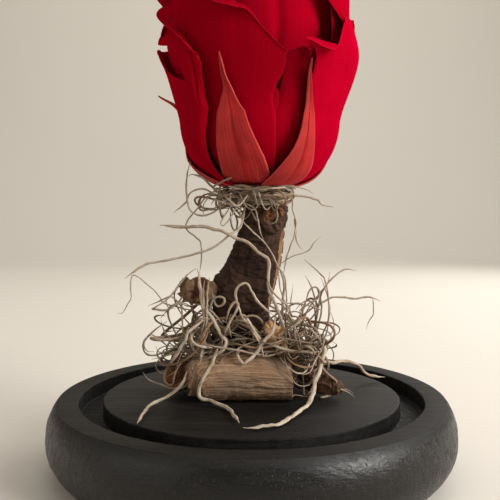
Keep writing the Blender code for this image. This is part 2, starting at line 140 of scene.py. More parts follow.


# Reds that go with the petals' and the sepals' own: the rim red is a painted highlight along the petals'
# edges, and the shaded red painted shade on the sepals' left halves
RIM_HIGHLIGHT_RED = (0.56, 0.012, 0.035)
FIBRE_RED = (0.52, 0.066, 0.062)
SHADED_RED = (0.33, 0.034, 0.026)
EDGE_RED = (0.52, 0.10, 0.085)
FOLD_RED = (0.22, 0.008, 0.008)
# Browns that go with the wood's and the moss's own; the stub's near-black is painted shade inside its hollow
WEATHERED_GREY = (0.235, 0.185, 0.135)
RUSTY_CORE = (0.40, 0.175, 0.075)
STUB_HOLLOW_SHADE = (0.085, 0.022, 0.012)
KNOT_CORE = (0.40, 0.155, 0.065)
RUSTY_STRAND = (0.28, 0.172, 0.105)
EARTHY_STRAND = (0.30, 0.180, 0.095)


# Sizes and colours that a user may change

class RoseBaseSettings(bpy.types.PropertyGroup):
    """The turned base."""
    stain: FloatVectorProperty(name="Stain", description="Colour of the black stain", subtype="COLOR",
                               default=(0.0055, 0.0053, 0.0050), min=0.0, max=1.0)
    worn: FloatVectorProperty(name="Worn stain", description="Colour where the grain shows through",
                              subtype="COLOR", default=(0.022, 0.020, 0.018), min=0.0, max=1.0)
    segments: IntProperty(name="Segments", description="Segments round the base", default=400, min=24)


class RoseWoodSettings(bpy.types.PropertyGroup):
    """The branch and the pieces of wood at its foot."""
    bark: FloatVectorProperty(name="Bark", description="Colour of the branch's bark", subtype="COLOR",
                              default=(0.054, 0.028, 0.019), min=0.0, max=1.0)
    peeled: FloatVectorProperty(name="Peeled wood", description="Colour of the peeled wood", subtype="COLOR",
                                default=(0.410, 0.250, 0.145), min=0.0, max=1.0)
    rust: FloatVectorProperty(name="Rusty bark", description="Colour of the rusty bark", subtype="COLOR",
                              default=(0.165, 0.062, 0.026), min=0.0, max=1.0)
    core: FloatVectorProperty(name="Cut core", description="Colour of the cut faces", subtype="COLOR",
                              default=(0.520, 0.300, 0.160), min=0.0, max=1.0)


class RosePetalSettings(bpy.types.PropertyGroup):
    """The petals and the sepals."""
    # The deep and the bright red are the petals' red shaded and lit: painted shade and light.
    deep: FloatVectorProperty(name="Deep red", description="Colour of the petals' shaded red",
                              subtype="COLOR", default=(0.270, 0.0005, 0.0075), min=0.0, max=1.0)
    bright: FloatVectorProperty(name="Bright red", description="Colour of the petals' light red",
                                subtype="COLOR", default=(0.390, 0.0006, 0.0150), min=0.0, max=1.0)
    sepal: FloatVectorProperty(name="Sepal", description="Colour of the sepals", subtype="COLOR",
                               default=(0.430, 0.020, 0.022), min=0.0, max=1.0)
    petal_thickness: FloatProperty(name="Petal thickness", description="Thickness of a petal", unit="LENGTH",
                                   subtype="DISTANCE", default=0.0004, min=0.0001, max=0.0008)
    sepal_thickness: FloatProperty(name="Sepal thickness", description="Thickness of a sepal", unit="LENGTH",
                                   subtype="DISTANCE", default=0.0006, min=0.0001, max=0.001)


class RoseMossSettings(bpy.types.PropertyGroup):
    """The dried moss."""
    strand: FloatVectorProperty(name="Strand", description="Colour of the darker strands", subtype="COLOR",
                                default=(0.180, 0.128, 0.084), min=0.0, max=1.0)
    pale: FloatVectorProperty(name="Pale strand", description="Colour of the palest strands",
                              subtype="COLOR", default=(0.660, 0.570, 0.450), min=0.0, max=1.0)
    fullness: FloatProperty(name="Fullness", description="Share of the loose strands that is made",
                            subtype="FACTOR", default=1.0, min=0.0, max=1.0)


class RoseStageSettings(bpy.types.PropertyGroup):
    """The floor and the light."""
    floor: FloatVectorProperty(name="Floor", description="Colour of the plain floor", subtype="COLOR",
                               default=(0.650, 0.615, 0.555), min=0.0, max=1.0)
    light: FloatProperty(name="Light", description="Strength of the main light", unit="POWER",
                         default=8.4, min=0.0)


# Curves and grids

def mix(a, b, t):
    return a + (b - a) * t


def smoothstep(t):
    t = np.clip(t, 0.0, 1.0)
    return t * t * (3.0 - 2.0 * t)


def along(values, t):
    """A smooth curve through evenly spaced values or points, read at t from 0 to 1."""
    values = np.asarray(values, float)
    last = len(values) - 1
    place = np.clip(np.asarray(t, float), 0.0, 1.0) * last
    i = np.minimum(place.astype(int), last - 1)
    f = place - i
    if values.ndim > 1:
        f = f[..., None]
    p0, p1 = values[np.maximum(i - 1, 0)], values[i]
    p2, p3 = values[i + 1], values[np.minimum(i + 2, last)]
    bend = p0 * 2 - p1 * 5 + p2 * 4 - p3
    twist = p1 * 3 - p0 - p2 * 3 + p3
    return p1 + ((p2 - p0) * f + bend * f ** 2 + twist * f ** 3) * 0.5


def ripple(t, seed):
    """A wavering value from about -1 to 1, the same for the same seed."""
    draw = random.Random(seed)
    total = np.zeros_like(np.asarray(t, float))
    for octave in range(1, 5):
        swell = draw.uniform(0.5, 1.0) / octave
        total = total + swell * np.sin(TAU * (draw.uniform(0.7, 1.3) * octave * t + draw.random()))
    return total / 1.6


def travelled(points):
    """The way along a path up to each of its points."""
    steps = np.linalg.norm(np.diff(points, axis=0), axis=1)
    return np.concatenate([[0.0], np.cumsum(steps)])


def frames_along(points):
    """Two directions square to a path at each of its points, without twist."""
    path = [Vector(p) for p in points]
    last = len(path) - 1
    side = Vector((0.0, 1.0, 0.0))
    if abs((path[1] - path[0]).normalized().y) > 0.8:
        side = Vector((0.0, 0.0, 1.0))
    sides, others = [], []
    for i in range(last + 1):
        forward = (path[min(i + 1, last)] - path[max(i - 1, 0)]).normalized()
        side = (side - forward * side.dot(forward)).normalized()
        sides.append(side)
        others.append(forward.cross(side))
    return np.array(sides), np.array(others)


def ring_faces(rows, sides):
    """Quads of a tube of closed rings, and the two faces that end it."""
    k = np.arange(sides)
    n = (k + 1) % sides
    start = np.arange(rows - 1)[:, None] * sides
    quads = np.stack([start + k, start + n, start + sides + n, start + sides + k], -1).reshape(-1, 4)
    last = (rows - 1) * sides
    return quads, tuple(int(i) for i in k[::-1]), tuple(int(i) for i in last + k)


def make_piece(name, verts, faces, look, nodes, grain=None):
    """One mesh object from points in millimetres. grain gives each point a place in its material."""
    mesh = bpy.data.meshes.new(name)
    mesh.from_pydata((np.asarray(verts, float).reshape(-1, 3) * MM).tolist(), [], faces)
    if grain is not None:
        layer = mesh.attributes.new("grain", "FLOAT_VECTOR", "POINT")
        layer.data.foreach_set("vector", np.asarray(grain, np.float32).ravel())
    work = bmesh.new()
    work.from_mesh(mesh)
    bmesh.ops.recalc_face_normals(work, faces=work.faces)
    work.to_mesh(mesh)
    work.free()
    mesh.shade_smooth()
    mesh.materials.append(look)
    piece = bpy.data.objects.new(name, mesh)
    bpy.context.scene.collection.objects.link(piece)
    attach(piece, "root")
    if nodes:
        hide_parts(*nodes)
    return piece


# Finishes

def node(tree, kind, inputs=None, **settings):
    made = tree.nodes.new(kind)
    for key, value in settings.items():
        setattr(made, key, value)
    for key, value in (inputs or {}).items():
        if isinstance(value, bpy.types.NodeSocket):
            tree.links.new(value, made.inputs[key])
        else:
            made.inputs[key].default_value = value
    return made


def math_of(tree, operation, a, b=0.0):
    return node(tree, "ShaderNodeMath", {0: a, 1: b}, operation=operation).outputs[0]


def ramp(tree, value, low, high, out_low=0.0, out_high=1.0):
    inputs = {"Value": value, "From Min": low, "From Max": high, "To Min": out_low, "To Max": out_high}
    return node(tree, "ShaderNodeMapRange", inputs, interpolation_type="SMOOTHSTEP").outputs[0]


def blend(tree, factor, a, b):
    colours = [(*c, 1.0) if isinstance(c, tuple) else c for c in (a, b)]
    inputs = {0: factor, 6: colours[0], 7: colours[1]}
    return node(tree, "ShaderNodeMix", inputs, data_type="RGBA").outputs[2]


def new_group(name, inputs, outputs):
    """A shader node group with named float inputs after its Vector, and float outputs."""
    tree = bpy.data.node_groups.new(name, "ShaderNodeTree")
    tree.interface.new_socket(name="Vector", in_out="INPUT", socket_type="NodeSocketVector")
    for key, value in inputs.items():
        socket = tree.interface.new_socket(name=key, in_out="INPUT", socket_type="NodeSocketFloat")
        socket.default_value = value
    for key in outputs:
        tree.interface.new_socket(name=key, in_out="OUTPUT", socket_type="NodeSocketFloat")
    return tree, tree.nodes.new("NodeGroupInput").outputs, tree.nodes.new("NodeGroupOutput").inputs


def fibre_group():
    """Long fibres that run along X."""
    name = "long_fibres"
    if name in bpy.data.node_groups:
        return bpy.data.node_groups[name]
    tree, given, out = new_group(name, {"Scale": 1.0, "Stretch": 8.0, "Low": 0.35, "High": 0.65},
                                 ("Mask", "Height"))
    x, y, z = parts_of(tree, given["Vector"])
    place = vector_of(tree, math_of(tree, "DIVIDE", x, given["Stretch"]), y, z)
    grain = node(tree, "ShaderNodeTexNoise", {"Vector": place, "Scale": given["Scale"], "Detail": 5.0,
                                             "Roughness": 0.6, "Distortion": 0.3}).outputs[0]
    tree.links.new(ramp(tree, grain, given["Low"], given["High"]), out["Mask"])
    tree.links.new(grain, out["Height"])
    return tree


def mottle_group():
    """Soft patches."""
    name = "soft_patches"
    if name in bpy.data.node_groups:
        return bpy.data.node_groups[name]
    tree, given, out = new_group(name, {"Scale": 1.0, "Low": 0.4, "High": 0.6}, ("Mask",))
    cloud = node(tree, "ShaderNodeTexNoise", {"Vector": given["Vector"], "Scale": given["Scale"],
                                              "Detail": 3.0, "Roughness": 0.55}).outputs[0]
    tree.links.new(ramp(tree, cloud, given["Low"], given["High"]), out["Mask"])
    return tree


def use_group(tree, group, vector, **values):
    inputs = {"Vector": vector} | {key.capitalize(): value for key, value in values.items()}
    return node(tree, "ShaderNodeGroup", inputs, node_tree=group).outputs


def start_look(name, roughness):
    """A material with its shader; returns the material, its tree and the shader's inputs."""
    made = bpy.data.materials.new(name)
    made.use_nodes = True
    shader = made.node_tree.nodes["Principled BSDF"]
    shader.inputs["Roughness"].default_value = roughness
    return made, made.node_tree, shader.inputs


def set_relief(tree, shader, height, depth, strength=1.0):
    inputs = {"Height": height, "Distance": depth, "Strength": strength}
    tree.links.new(node(tree, "ShaderNodeBump", inputs).outputs[0], shader["Normal"])


def grain_vector(tree):
    return node(tree, "ShaderNodeAttribute", attribute_name="grain").outputs["Vector"]


def object_space(tree):
    return node(tree, "ShaderNodeTexCoord").outputs["Object"]


def parts_of(tree, vector):
    return node(tree, "ShaderNodeSeparateXYZ", {0: vector}).outputs


def vector_of(tree, x, y, z=0.0):
    return node(tree, "ShaderNodeCombineXYZ", {0: x, 1: y, 2: z}).outputs[0]


def tint(colour, factor):
    return tuple(min(c * factor, 1.0) for c in colour)


def share_of(tree, mask, share):
    return math_of(tree, "MULTIPLY", mask, share)


def overlay(tree, colour, mask, share, over):
    """A colour with a share of another laid over it where the mask is."""
    return blend(tree, share_of(tree, mask, share), colour, over)


def petal_look(settings):
    """Deep velvety red that runs from deep to bright per petal, partly as painted light and shade, with faint
    veins that fan out upwards and a thin rim lightened as a painted highlight.
    """
    made, tree, shader = start_look("crimson_velvet_petal", 0.75)
    u, v, tone = parts_of(tree, grain_vector(tree))
    fan = vector_of(tree, share_of(tree, v, 9.0), share_of(tree, u, 24.0), share_of(tree, tone, 37.0))
    veins = use_group(tree, fibre_group(), fan, scale=1.0, stretch=8.0, low=0.42, high=0.70)
    space = object_space(tree)
    patches = use_group(tree, mottle_group(), space, scale=55.0, low=0.35, high=0.7)
    deep, bright = tuple(settings.deep), tuple(settings.bright)
    # Each petal's tone picks between the shaded and the lit red: painted light and shade along with the
    # petal's own tone.
    red = blend(tree, tone, deep, bright)
    red = overlay(tree, red, patches["Mask"], 0.25, tint(deep, 0.6))
    red = overlay(tree, red, veins["Mask"], 0.14, tint(bright, 1.2))
    # The rim and the side edges are lightened: a painted highlight where the thin edges catch the light.
    near_rim = ramp(tree, v, 0.985, 1.0)
    near_side = ramp(tree, math_of(tree, "ABSOLUTE", u), 0.982, 1.0)
    rim = share_of(tree, math_of(tree, "MAXIMUM", near_rim, near_side), 0.3)
    red = blend(tree, rim, red, RIM_HIGHLIGHT_RED)
    tree.links.new(red, shader["Base Color"])
    shader["Sheen Weight"].default_value = 0.22
    shader["Sheen Roughness"].default_value = 0.4
    shader["Sheen Tint"].default_value = (1.0, 0.002, 0.05, 1.0)
    shader["Specular IOR Level"].default_value = 0.0
    set_relief(tree, shader, veins["Height"], 0.00012, 0.4)
    return made


def sepal_look(settings):
    """Brick red with fine fibres, a darker left half that is painted shade, a paler edge and a darker fold
    along the middle.
    """
    made, tree, shader = start_look("brick_red_sepal_fibres", 0.7)
    u, v, tone = parts_of(tree, grain_vector(tree))
    fan = vector_of(tree, share_of(tree, v, 14.0), share_of(tree, u, 11.0), tone)
    fibres = use_group(tree, fibre_group(), fan, scale=1.3, stretch=5.0, low=0.42, high=0.66)
    space = object_space(tree)
    patches = use_group(tree, mottle_group(), space, scale=130.0, low=0.35, high=0.7)
    red = tuple(settings.sepal)
    colour = blend(tree, patches["Mask"], tint(red, 0.72), tint(red, 1.15))
    colour = overlay(tree, colour, fibres["Mask"], 0.5, FIBRE_RED)
    # The left half is darker: painted shade on the side away from the light.
    left_half_painted_shade = share_of(tree, ramp(tree, u, 0.05, -0.35), 0.35)
    colour = blend(tree, left_half_painted_shade, colour, SHADED_RED)
    edge = share_of(tree, ramp(tree, math_of(tree, "ABSOLUTE", u), 0.93, 1.0), 0.45)
    colour = blend(tree, edge, colour, EDGE_RED)
    fold = share_of(tree, ramp(tree, math_of(tree, "ABSOLUTE", u), 0.06, 0.0), 0.45)
    colour = blend(tree, fold, colour, FOLD_RED)
    tree.links.new(colour, shader["Base Color"])
    shader["Specular IOR Level"].default_value = 0.14
    shader["Specular Tint"].default_value = (1.0, 0.4, 0.35, 1.0)
    set_relief(tree, shader, fibres["Height"], 0.00030, 0.8)
    return made


def bark_look(name, colour, light, crack, core):
    """Bark on the sides and cut wood where grain's third part is 1."""
    made, tree, shader = start_look(name, 0.85)
    place = grain_vector(tree)
    way, around, cut = parts_of(tree, place)
    across = vector_of(tree, around, way)
    fibres = use_group(tree, fibre_group(), place, scale=1.1, stretch=7.0, low=0.38, high=0.68)
    cracks = use_group(tree, fibre_group(), across, scale=0.60, stretch=5.0, low=0.56, high=0.63)
    wrinkles = use_group(tree, fibre_group(), across, scale=2.6, stretch=7.0, low=0.46, high=0.62)
    space = object_space(tree)
    patches = use_group(tree, mottle_group(), space, scale=150.0, low=0.40, high=0.68)
    broad = use_group(tree, mottle_group(), space, scale=52.0, low=0.42, high=0.62)
    side = overlay(tree, colour, fibres["Mask"], 0.45, light)
    side = overlay(tree, side, wrinkles["Mask"], 0.55, tint(colour, 0.5))
    side = overlay(tree, side, patches["Mask"], 0.45, tint(light, 1.3))
    side = overlay(tree, side, broad["Mask"], 0.55, tint(colour, 0.45))
    side = overlay(tree, side, cracks["Mask"], 0.75, crack)
    face = blend(tree, fibres["Mask"], tint(core, 0.5), core)
    face = overlay(tree, face, patches["Mask"], 0.5, tint(core, 0.55))
    tree.links.new(blend(tree, cut, side, face), shader["Base Color"])
    shader["Specular IOR Level"].default_value = 0.2
    relief = math_of(tree, "SUBTRACT", fibres["Height"], share_of(tree, cracks["Mask"], 0.4))
    relief = math_of(tree, "SUBTRACT", relief, wrinkles["Height"])
    set_relief(tree, shader, relief, 0.0008, 0.9)
    return made


def peeled_look(settings):
    """Bare weathered wood, ribbed along its grain."""
    made, tree, shader = start_look("peeled_wood_grain", 0.78)
    place = grain_vector(tree)
    cut = parts_of(tree, place)[2]
    fine = use_group(tree, fibre_group(), place, scale=2.4, stretch=26.0, low=0.42, high=0.62)
    broad = use_group(tree, fibre_group(), place, scale=0.8, stretch=16.0, low=0.42, high=0.64)
    space = object_space(tree)
    grey = use_group(tree, mottle_group(), space, scale=75.0, low=0.40, high=0.62)
    wood = tuple(settings.peeled)
    colour = blend(tree, broad["Mask"], tint(wood, 0.62), tint(wood, 1.2))
    colour = overlay(tree, colour, grey["Mask"], 0.45, WEATHERED_GREY)
    colour = overlay(tree, colour, fine["Mask"], 0.6, tint(wood, 0.36))
    face = blend(tree, fine["Mask"], tint(wood, 0.75), tint(settings.core, 0.95))
    tree.links.new(blend(tree, cut, colour, face), shader["Base Color"])
    shader["Specular IOR Level"].default_value = 0.2
    relief = math_of(tree, "SUBTRACT", broad["Height"], fine["Height"])
    set_relief(tree, shader, relief, 0.0007, 0.9)
    return made


def base_look(settings, name, shade, shine, smooth, rough):
    """Black stain, brushed along the grain of the board, which runs along X, and torn on its end grain.

    shade darkens the stain as painted shade, lower on the side than on the top; shine is how strongly it
    reflects, and rough turns to smooth below the top's edge.
    """
    made, tree, shader = start_look(name, 0.5)
    space = object_space(tree)
    fine = use_group(tree, fibre_group(), space, scale=1100.0, stretch=24.0, low=0.46, high=0.68)
    broad = use_group(tree, fibre_group(), space, scale=190.0, stretch=10.0, low=0.44, high=0.66)
    patches = use_group(tree, mottle_group(), space, scale=30.0, low=0.35, high=0.7)
    specks = use_group(tree, mottle_group(), space, scale=1500.0, low=0.58, high=0.72)
    x, y, z = parts_of(tree, space)
    upright = vector_of(tree, z, x, y)
    tears = use_group(tree, fibre_group(), upright, scale=1300.0, stretch=5.0, low=0.46, high=0.62)
    at_end = ramp(tree, math_of(tree, "ABSOLUTE", x), *END_GRAIN_REACH)
    on_side = ramp(tree, z, *SIDE_LOOK_HEIGHTS)
    torn = share_of(tree, tears["Mask"], share_of(tree, on_side, at_end))
    stain, worn = tint(tuple(settings.stain), shade), tint(tuple(settings.worn), shade)
    colour = overlay(tree, stain, fine["Mask"], 0.5, worn)
    colour = overlay(tree, colour, broad["Mask"], 0.35, worn)
    colour = overlay(tree, colour, patches["Mask"], 0.4, tint(stain, 0.6))
    colour = overlay(tree, colour, specks["Mask"], 0.3, tint(worn, 1.5))
    tree.links.new(colour, shader["Base Color"])
    roughness = math_of(tree, "SUBTRACT", rough, share_of(tree, on_side, rough - smooth))
    roughness = math_of(tree, "ADD", roughness, ramp(tree, fine["Height"], 0.3, 0.7, -0.07, 0.09))
    tree.links.new(roughness, shader["Roughness"])
    shader["Specular IOR Level"].default_value = shine
    relief = math_of(tree, "ADD", fine["Height"], math_of(tree, "ADD", broad["Height"], torn))
    relief = math_of(tree, "ADD", relief, share_of(tree, specks["Mask"], 0.3))
    set_relief(tree, shader, relief, 0.00025, 0.6)
    return made


def moss_look(settings):
    """Dry strands, streaked along their length. Grain's third part is the tone, from dark brown at 0
    to pale straw at 1, and rusty at RUSTY_TONE.
    """
    made, tree, shader = start_look("dried_moss_strands", 0.8)
    place = grain_vector(tree)
    tone = parts_of(tree, place)[2]
    fibres = use_group(tree, fibre_group(), place, scale=1.6, stretch=9.0, low=0.40, high=0.66)
    space = object_space(tree)
    patches = use_group(tree, mottle_group(), space, scale=220.0, low=0.42, high=0.68)
    strand, pale = tuple(settings.strand), tuple(settings.pale)
    colour = blend(tree, tone, strand, pale)
    colour = blend(tree, ramp(tree, tone, 1.0, RUSTY_TONE), colour, RUSTY_STRAND)
    colour = overlay(tree, colour, patches["Mask"], 0.5, EARTHY_STRAND)
    colour = overlay(tree, colour, fibres["Mask"], 0.45, tint(strand, 0.55))
    tree.links.new(colour, shader["Base Color"])
    shader["Specular IOR Level"].default_value = 0.25
    set_relief(tree, shader, fibres["Height"], 0.0003, 0.8)
    return made


def floor_look(settings):
    made, tree, shader = start_look("pale_floor", 0.75)
    space = object_space(tree)
    patches = use_group(tree, mottle_group(), space, scale=6.0, low=0.3, high=0.7)
    pale = tuple(settings.floor)
    colour = overlay(tree, pale, patches["Mask"], 0.06, tint(pale, 0.9))
    tree.links.new(colour, shader["Base Color"])
    return made


# Base

def base_profile():
    middle = BASE_TOP / 2
    profile = [(0.0, 0.0), (BASE_RADIUS - BASE_FOOT_DROP - BASE_FOOT_BEVEL, 0.0)]
    for i in range(-BASE_SIDE_STEPS, BASE_SIDE_STEPS + 1):
        share = math.sin(math.pi / 2 * i / BASE_SIDE_STEPS)
        drop = BASE_FOOT_DROP * share ** 2 if share < 0 else BASE_TOP_DROP * share ** BASE_TOP_ROUNDNESS
        profile.append((BASE_RADIUS - drop, middle + middle * share))
    floor = BASE_TOP - GROOVE_DEPTH
    corners = ((GROOVE_OUTER_RADIUS, BASE_TOP, 1, -1), (GROOVE_OUTER_RADIUS, floor, -1, 1),
               (GROOVE_INNER_RADIUS, floor, 1, 1), (GROOVE_INNER_RADIUS, BASE_TOP, -1, -1))
    turns = [math.pi / 2 * k / GROOVE_EDGE_STEPS for k in range(GROOVE_EDGE_STEPS + 1)]
    for n, (radius, height, outwards, upwards) in enumerate(corners):
        for turn in turns if n % 2 == 0 else turns[::-1]:
            over, up = 1 - math.sin(turn), 1 - math.cos(turn)
            profile.append((radius + outwards * over * GROOVE_EDGE, height + upwards * up * GROOVE_EDGE))
        if n == 1:
            floor_start = GROOVE_OUTER_RADIUS - GROOVE_EDGE
            floor_end = GROOVE_INNER_RADIUS + GROOVE_EDGE
            profile.extend((mix(floor_start, floor_end, k / GROOVE_FLOOR_STEPS), floor)
                           for k in range(1, GROOVE_FLOOR_STEPS))
    return profile + [(GROOVE_INNER_RADIUS * 0.5, BASE_TOP), (0.0, BASE_TOP)]


def worn_point(radius, height, angle):
    """A point of the turned form with the rough cut of the groove and the torn end grain."""
    x, y = radius * math.cos(angle), radius * math.sin(angle)
    near_groove = GROOVE_INNER_RADIUS - WEAR_MARGIN < radius < GROOVE_OUTER_RADIUS + WEAR_MARGIN
    if near_groove and height > BASE_TOP - GROOVE_DEPTH - 0.1:
        wear = noise.noise(Vector((x * 0.5, y * 0.5, height * 0.6)))
        crumbs = noise.noise(Vector((x * 1.3, y * 1.3, height)))
        radius += GROOVE_WEAR * wear
        if height < BASE_TOP - GROOVE_EDGE:
            height += GROOVE_WEAR * (wear + 0.7 * crumbs)
    elif radius > GROOVE_OUTER_RADIUS and height < BASE_TOP - WEAR_TOP_GAP:
        torn = float(smoothstep((abs(x) - END_GRAIN_START) / END_GRAIN_SPAN))
        radius += END_GRAIN_WEAR * torn * noise.noise(Vector((x * 0.8, y * 1.5, height * 0.3)))
    return radius * math.cos(angle), radius * math.sin(angle), height


def build_base(settings):
    profile = base_profile()
    count = settings.segments
    verts = [(0.0, 0.0, profile[0][1])]
    for radius, height in profile[1:-1]:
        for k in range(count):
            verts.append(worn_point(radius, height, TAU * k / count))
    verts.append((0.0, 0.0, profile[-1][1]))
    quads, _, _ = ring_faces(len(profile) - 2, count)
    faces = (quads + 1).tolist()
    top = 1 + (len(profile) - 3) * count
    for k in range(count):
        n = (k + 1) % count
        faces.append((0, 1 + n, 1 + k))
        faces.append((top + k, top + n, len(verts) - 1))
    top_look = base_look(settings, "black_stained_wood_top",
                         shade=1.0, shine=0.13, smooth=0.56, rough=0.56)
    # The side's stain is darkened to 0.6 of the top's: painted shade.
    side_look = base_look(settings, "black_stained_wood_side_painted_shade",
                          shade=0.6, shine=0.36, smooth=0.29, rough=0.56)
    piece = make_piece("base_fine", verts, faces, top_look, ["base"])
    piece.data.materials.append(side_look)
    for face in piece.data.polygons:
        x, y, z = face.center / MM
        outside = math.hypot(x, y) > GROOVE_OUTER_RADIUS + SIDE_LOOK_MARGIN
        face.material_index = int(outside and z < BASE_TOP - SIDE_LOOK_DROP)
    piece.data.set_sharp_from_angle(angle=math.radians(SHARP_DEGREES))
    return piece


# Wood

Wood = namedtuple("Wood", "path radii rough squash steps sides bark cuts ends")
# How deep the relief is, how fine, how strongly it is cracked across, and how fast it changes along
ROUGH_BARK = (0.50, 0.45, 0.95, 0.12)
SCALY_BARK = (0.8, 0.60, 0.5, 0.25)
RIBBED_WOOD = (0.46, 1.0, 0.0, 0.03)
ROOT_BARK = (0.5, 0.8, 0.5, 0.15)
FLAKE_BARK = (1.3, 0.7, 0.6, 0.3)

WOOD = {
    "branch": Wood(
        ((-2, 8.5, 22.3), (-2.5, 7.5, 32), (-3.5, 4.5, 44), (-3.2, 2.2, 54), (1.8, 0.6, 68), (4.8, 0, 86)),
        (7.6, 7.8, 8.6, 9.9, 8.2, 6.6), 0.12, 0.9, 220, 128, ROUGH_BARK, (), (0.0, 0.0)),
    "branch_arm": Wood(
        ((-7, 1.5, 54), (-13, 0, 54.8), (-17.5, -1.8, 56.2), (-21.8, -3.6, 57.2)),
        (4.6, 4.2, 3.8, 3.3), 0.30, 1.0, 56, 64, SCALY_BARK, (), (0.0, 1.3)),
    "log": Wood(
        ((-19.5, -9.2, 28.4), (-15.5, -8.6, 29.1), (-6, -8.3, 29.4), (4, -8.3, 29.4), (12.6, -8.4, 29.3)),
        (4.8, 6.9, 7.2, 7.2, 7.0), 0.05, 1.0, 110, 180, RIBBED_WOOD,
        (((4.5, -7.5, 35.6), (0.46, -0.25, 0.85)),), (1.3, 0.12)),
    "wood_chunk": Wood(
        ((-15.5, 12.5, 28.4), (-20, 6, 27.8), (-24.5, -1, 27.2)),
        (4.6, 4.9, 4.6), 0.30, 1.0, 80, 96, SCALY_BARK, (), (0.3, 1.5)),
    "root_piece": Wood(
        ((17, 3, 27), (23, -3, 26.2), (28, -8, 25.6)),
        (3.6, 3.2, 1.9), 0.34, 1.0, 80, 80, ROOT_BARK, (), (0.3, 0.6)),
    "bark_flake": Wood(
        ((9.6, -7.4, 38.4), (7.6, -8.4, 42.2), (5.0, -8.2, 46)),
        (1.9, 2.5, 1.4), 0.8, 0.6, 48, 48, FLAKE_BARK, (), (0.8, 0.9)),
}


def bark_relief(bark, way, angle, radius):
    """How far a point of the bark stands out or lies back, in millimetres."""
    depth, fine, crosswise, change = bark
    angle += 0.05 * noise.noise(Vector((way * 0.25, 0.0, 3.0)))
    x, y = math.cos(angle) * radius, math.sin(angle) * radius
    ridges = 0.5 - abs(noise.noise(Vector((x * fine, y * fine, way * change)))) * 2.2
    scales = noise.noise(Vector((x * 0.35, y * 0.35, way * 0.5 + 40.0)))
    crumbs = noise.noise(Vector((x * 1.9, y * 1.9, way * 1.5)))
    cracks = abs(noise.noise(Vector((x * 0.14, y * 0.14, way * 0.34 + 9.0))))
    wrinkles = noise.noise(Vector((x * 0.30, y * 0.30, way * 1.5 + 2.0)))
    crossing = max(0.09 - cracks, 0.0) * 9.0 - wrinkles * 0.22
    return depth * (ridges * 0.55 + scales * 0.45 + crumbs * 0.3) - crosswise * crossing


def knot_relief(x, y, z, knots):
    """Swellings of the trunk: each knot is a centre, its reach and its height."""
    total = 0.0
    for centre, reach, height in knots:
        apart = math.dist((x, y, z), centre) / reach
        if apart < 1.0:
            total += height * (1.0 - apart * apart) ** 2
    return total


KNOTS = {"branch": (((9.8, -2.0, 80.4), 6.0, 1.2), ((6.4, -6.0, 78.8), 5.5, 0.5),
                    ((9.2, -4.0, 76.0), 4.5, 0.9), ((-8.5, -5.5, 55.5), 5.0, 1.1),
                    ((-10.5, 1.0, 58.5), 5.0, 1.2))}
# Where the wood lies bare: the middle and the half width in degrees round the piece, and from where
# to where along it. On the arm the patch is coloured near-black, a painted shade inside the stub's hollow.
BARE = {"branch": (254.0, 13.0, 0.50, 0.90), "branch_arm": (190.0, 75.0, 0.52, 0.84)}
BARE_ENDS = {"branch_arm": 0.1}
BARE_DEPTH = 0.35
BARE_SMOOTHNESS = 0.8
CAP_RINGS = 12
# Share of what stands over a cut that is taken off
CUT_SHARE = 0.94


def bareness(name, angle, t):
    """How bare the wood is at a place, from 0 to 1."""
    if name not in BARE:
        return 0.0
    middle, half, start, end = BARE[name]
    ragged = 1.0 + 0.5 * noise.noise(Vector((t * 14.0, angle * 2.0, 5.0)))
    over = 1.0 - abs(math.degrees(angle) - middle) / (half * ragged)
    inside = min(over * 4.0, (t - start) * 22.0, (end - t) * 22.0)
    return min(max(inside, 0.0), 1.0)


def wood_grid(name, wood):
    """Rings of points from one end of a piece of wood to the other, and their grain."""
    t = np.linspace(0.0, 1.0, wood.steps + 1)
    centres = along(wood.path, t)
    sides, others = frames_along(centres)
    ways = travelled(centres)
    radii = along(wood.radii, t)
    angles = TAU * np.arange(wood.sides) / wood.sides
    rings, grains = [], []
    for i in range(wood.steps + 1):
        ring = []
        for angle in angles:
            seat = Vector((math.cos(angle), math.sin(angle), t[i] * len(wood.radii) + radii[i]))
            flat = mix(1.0, wood.squash, abs(math.cos(angle)))
            wall = radii[i] * flat * (1.0 + wood.rough * noise.noise(seat * 1.3))
            out = sides[i] * math.cos(angle) + others[i] * math.sin(angle)
            bare = bareness(name, angle, t[i])
            wall += bark_relief(wood.bark, ways[i], angle, radii[i]) * (1.0 - BARE_SMOOTHNESS * bare)
            wall += knot_relief(*(centres[i] + out * wall), KNOTS.get(name, ())) - BARE_DEPTH * bare
            ring.append(centres[i] + out * wall)
        rings.append(np.array(ring))
        bare = [bareness(name, angle, t[i]) for angle in angles]
        grains.append(np.stack([np.full(wood.sides, ways[i]), angles * radii[i], np.array(bare)], -1))
    caps = []
    for end, broken in ((0, wood.ends[0]), (-1, wood.ends[1])):
        centre, edge = centres[end], rings[end]
        outward = centre - centres[1 if end == 0 else -2]
        outward /= np.linalg.norm(outward)
        cap, marks = [], []
        for k in range(CAP_RINGS):
            share = (1.0 - k / CAP_RINGS) * 0.97
            spots = centre + (edge - centre) * share
            lift = [broken * noise.noise(Vector(s) * 0.55) + broken * 0.5 * noise.noise(Vector(s) * 1.9)
                    for s in spots]
            cap.append(spots + outward * (np.array(lift) + 0.15 * (k > 0))[:, None])
            ring_way = np.full(wood.sides, share * radii[end] * 3.0)
            bare = np.full(wood.sides, BARE_ENDS.get(name, 1.0))
            marks.append(np.stack([angles * 2.0, ring_way, bare], -1))
        caps.append((cap, marks))
    rings = caps[0][0][::-1] + rings + caps[1][0]
    grains = caps[0][1][::-1] + grains + caps[1][1]
    return np.array(rings), np.array(grains)


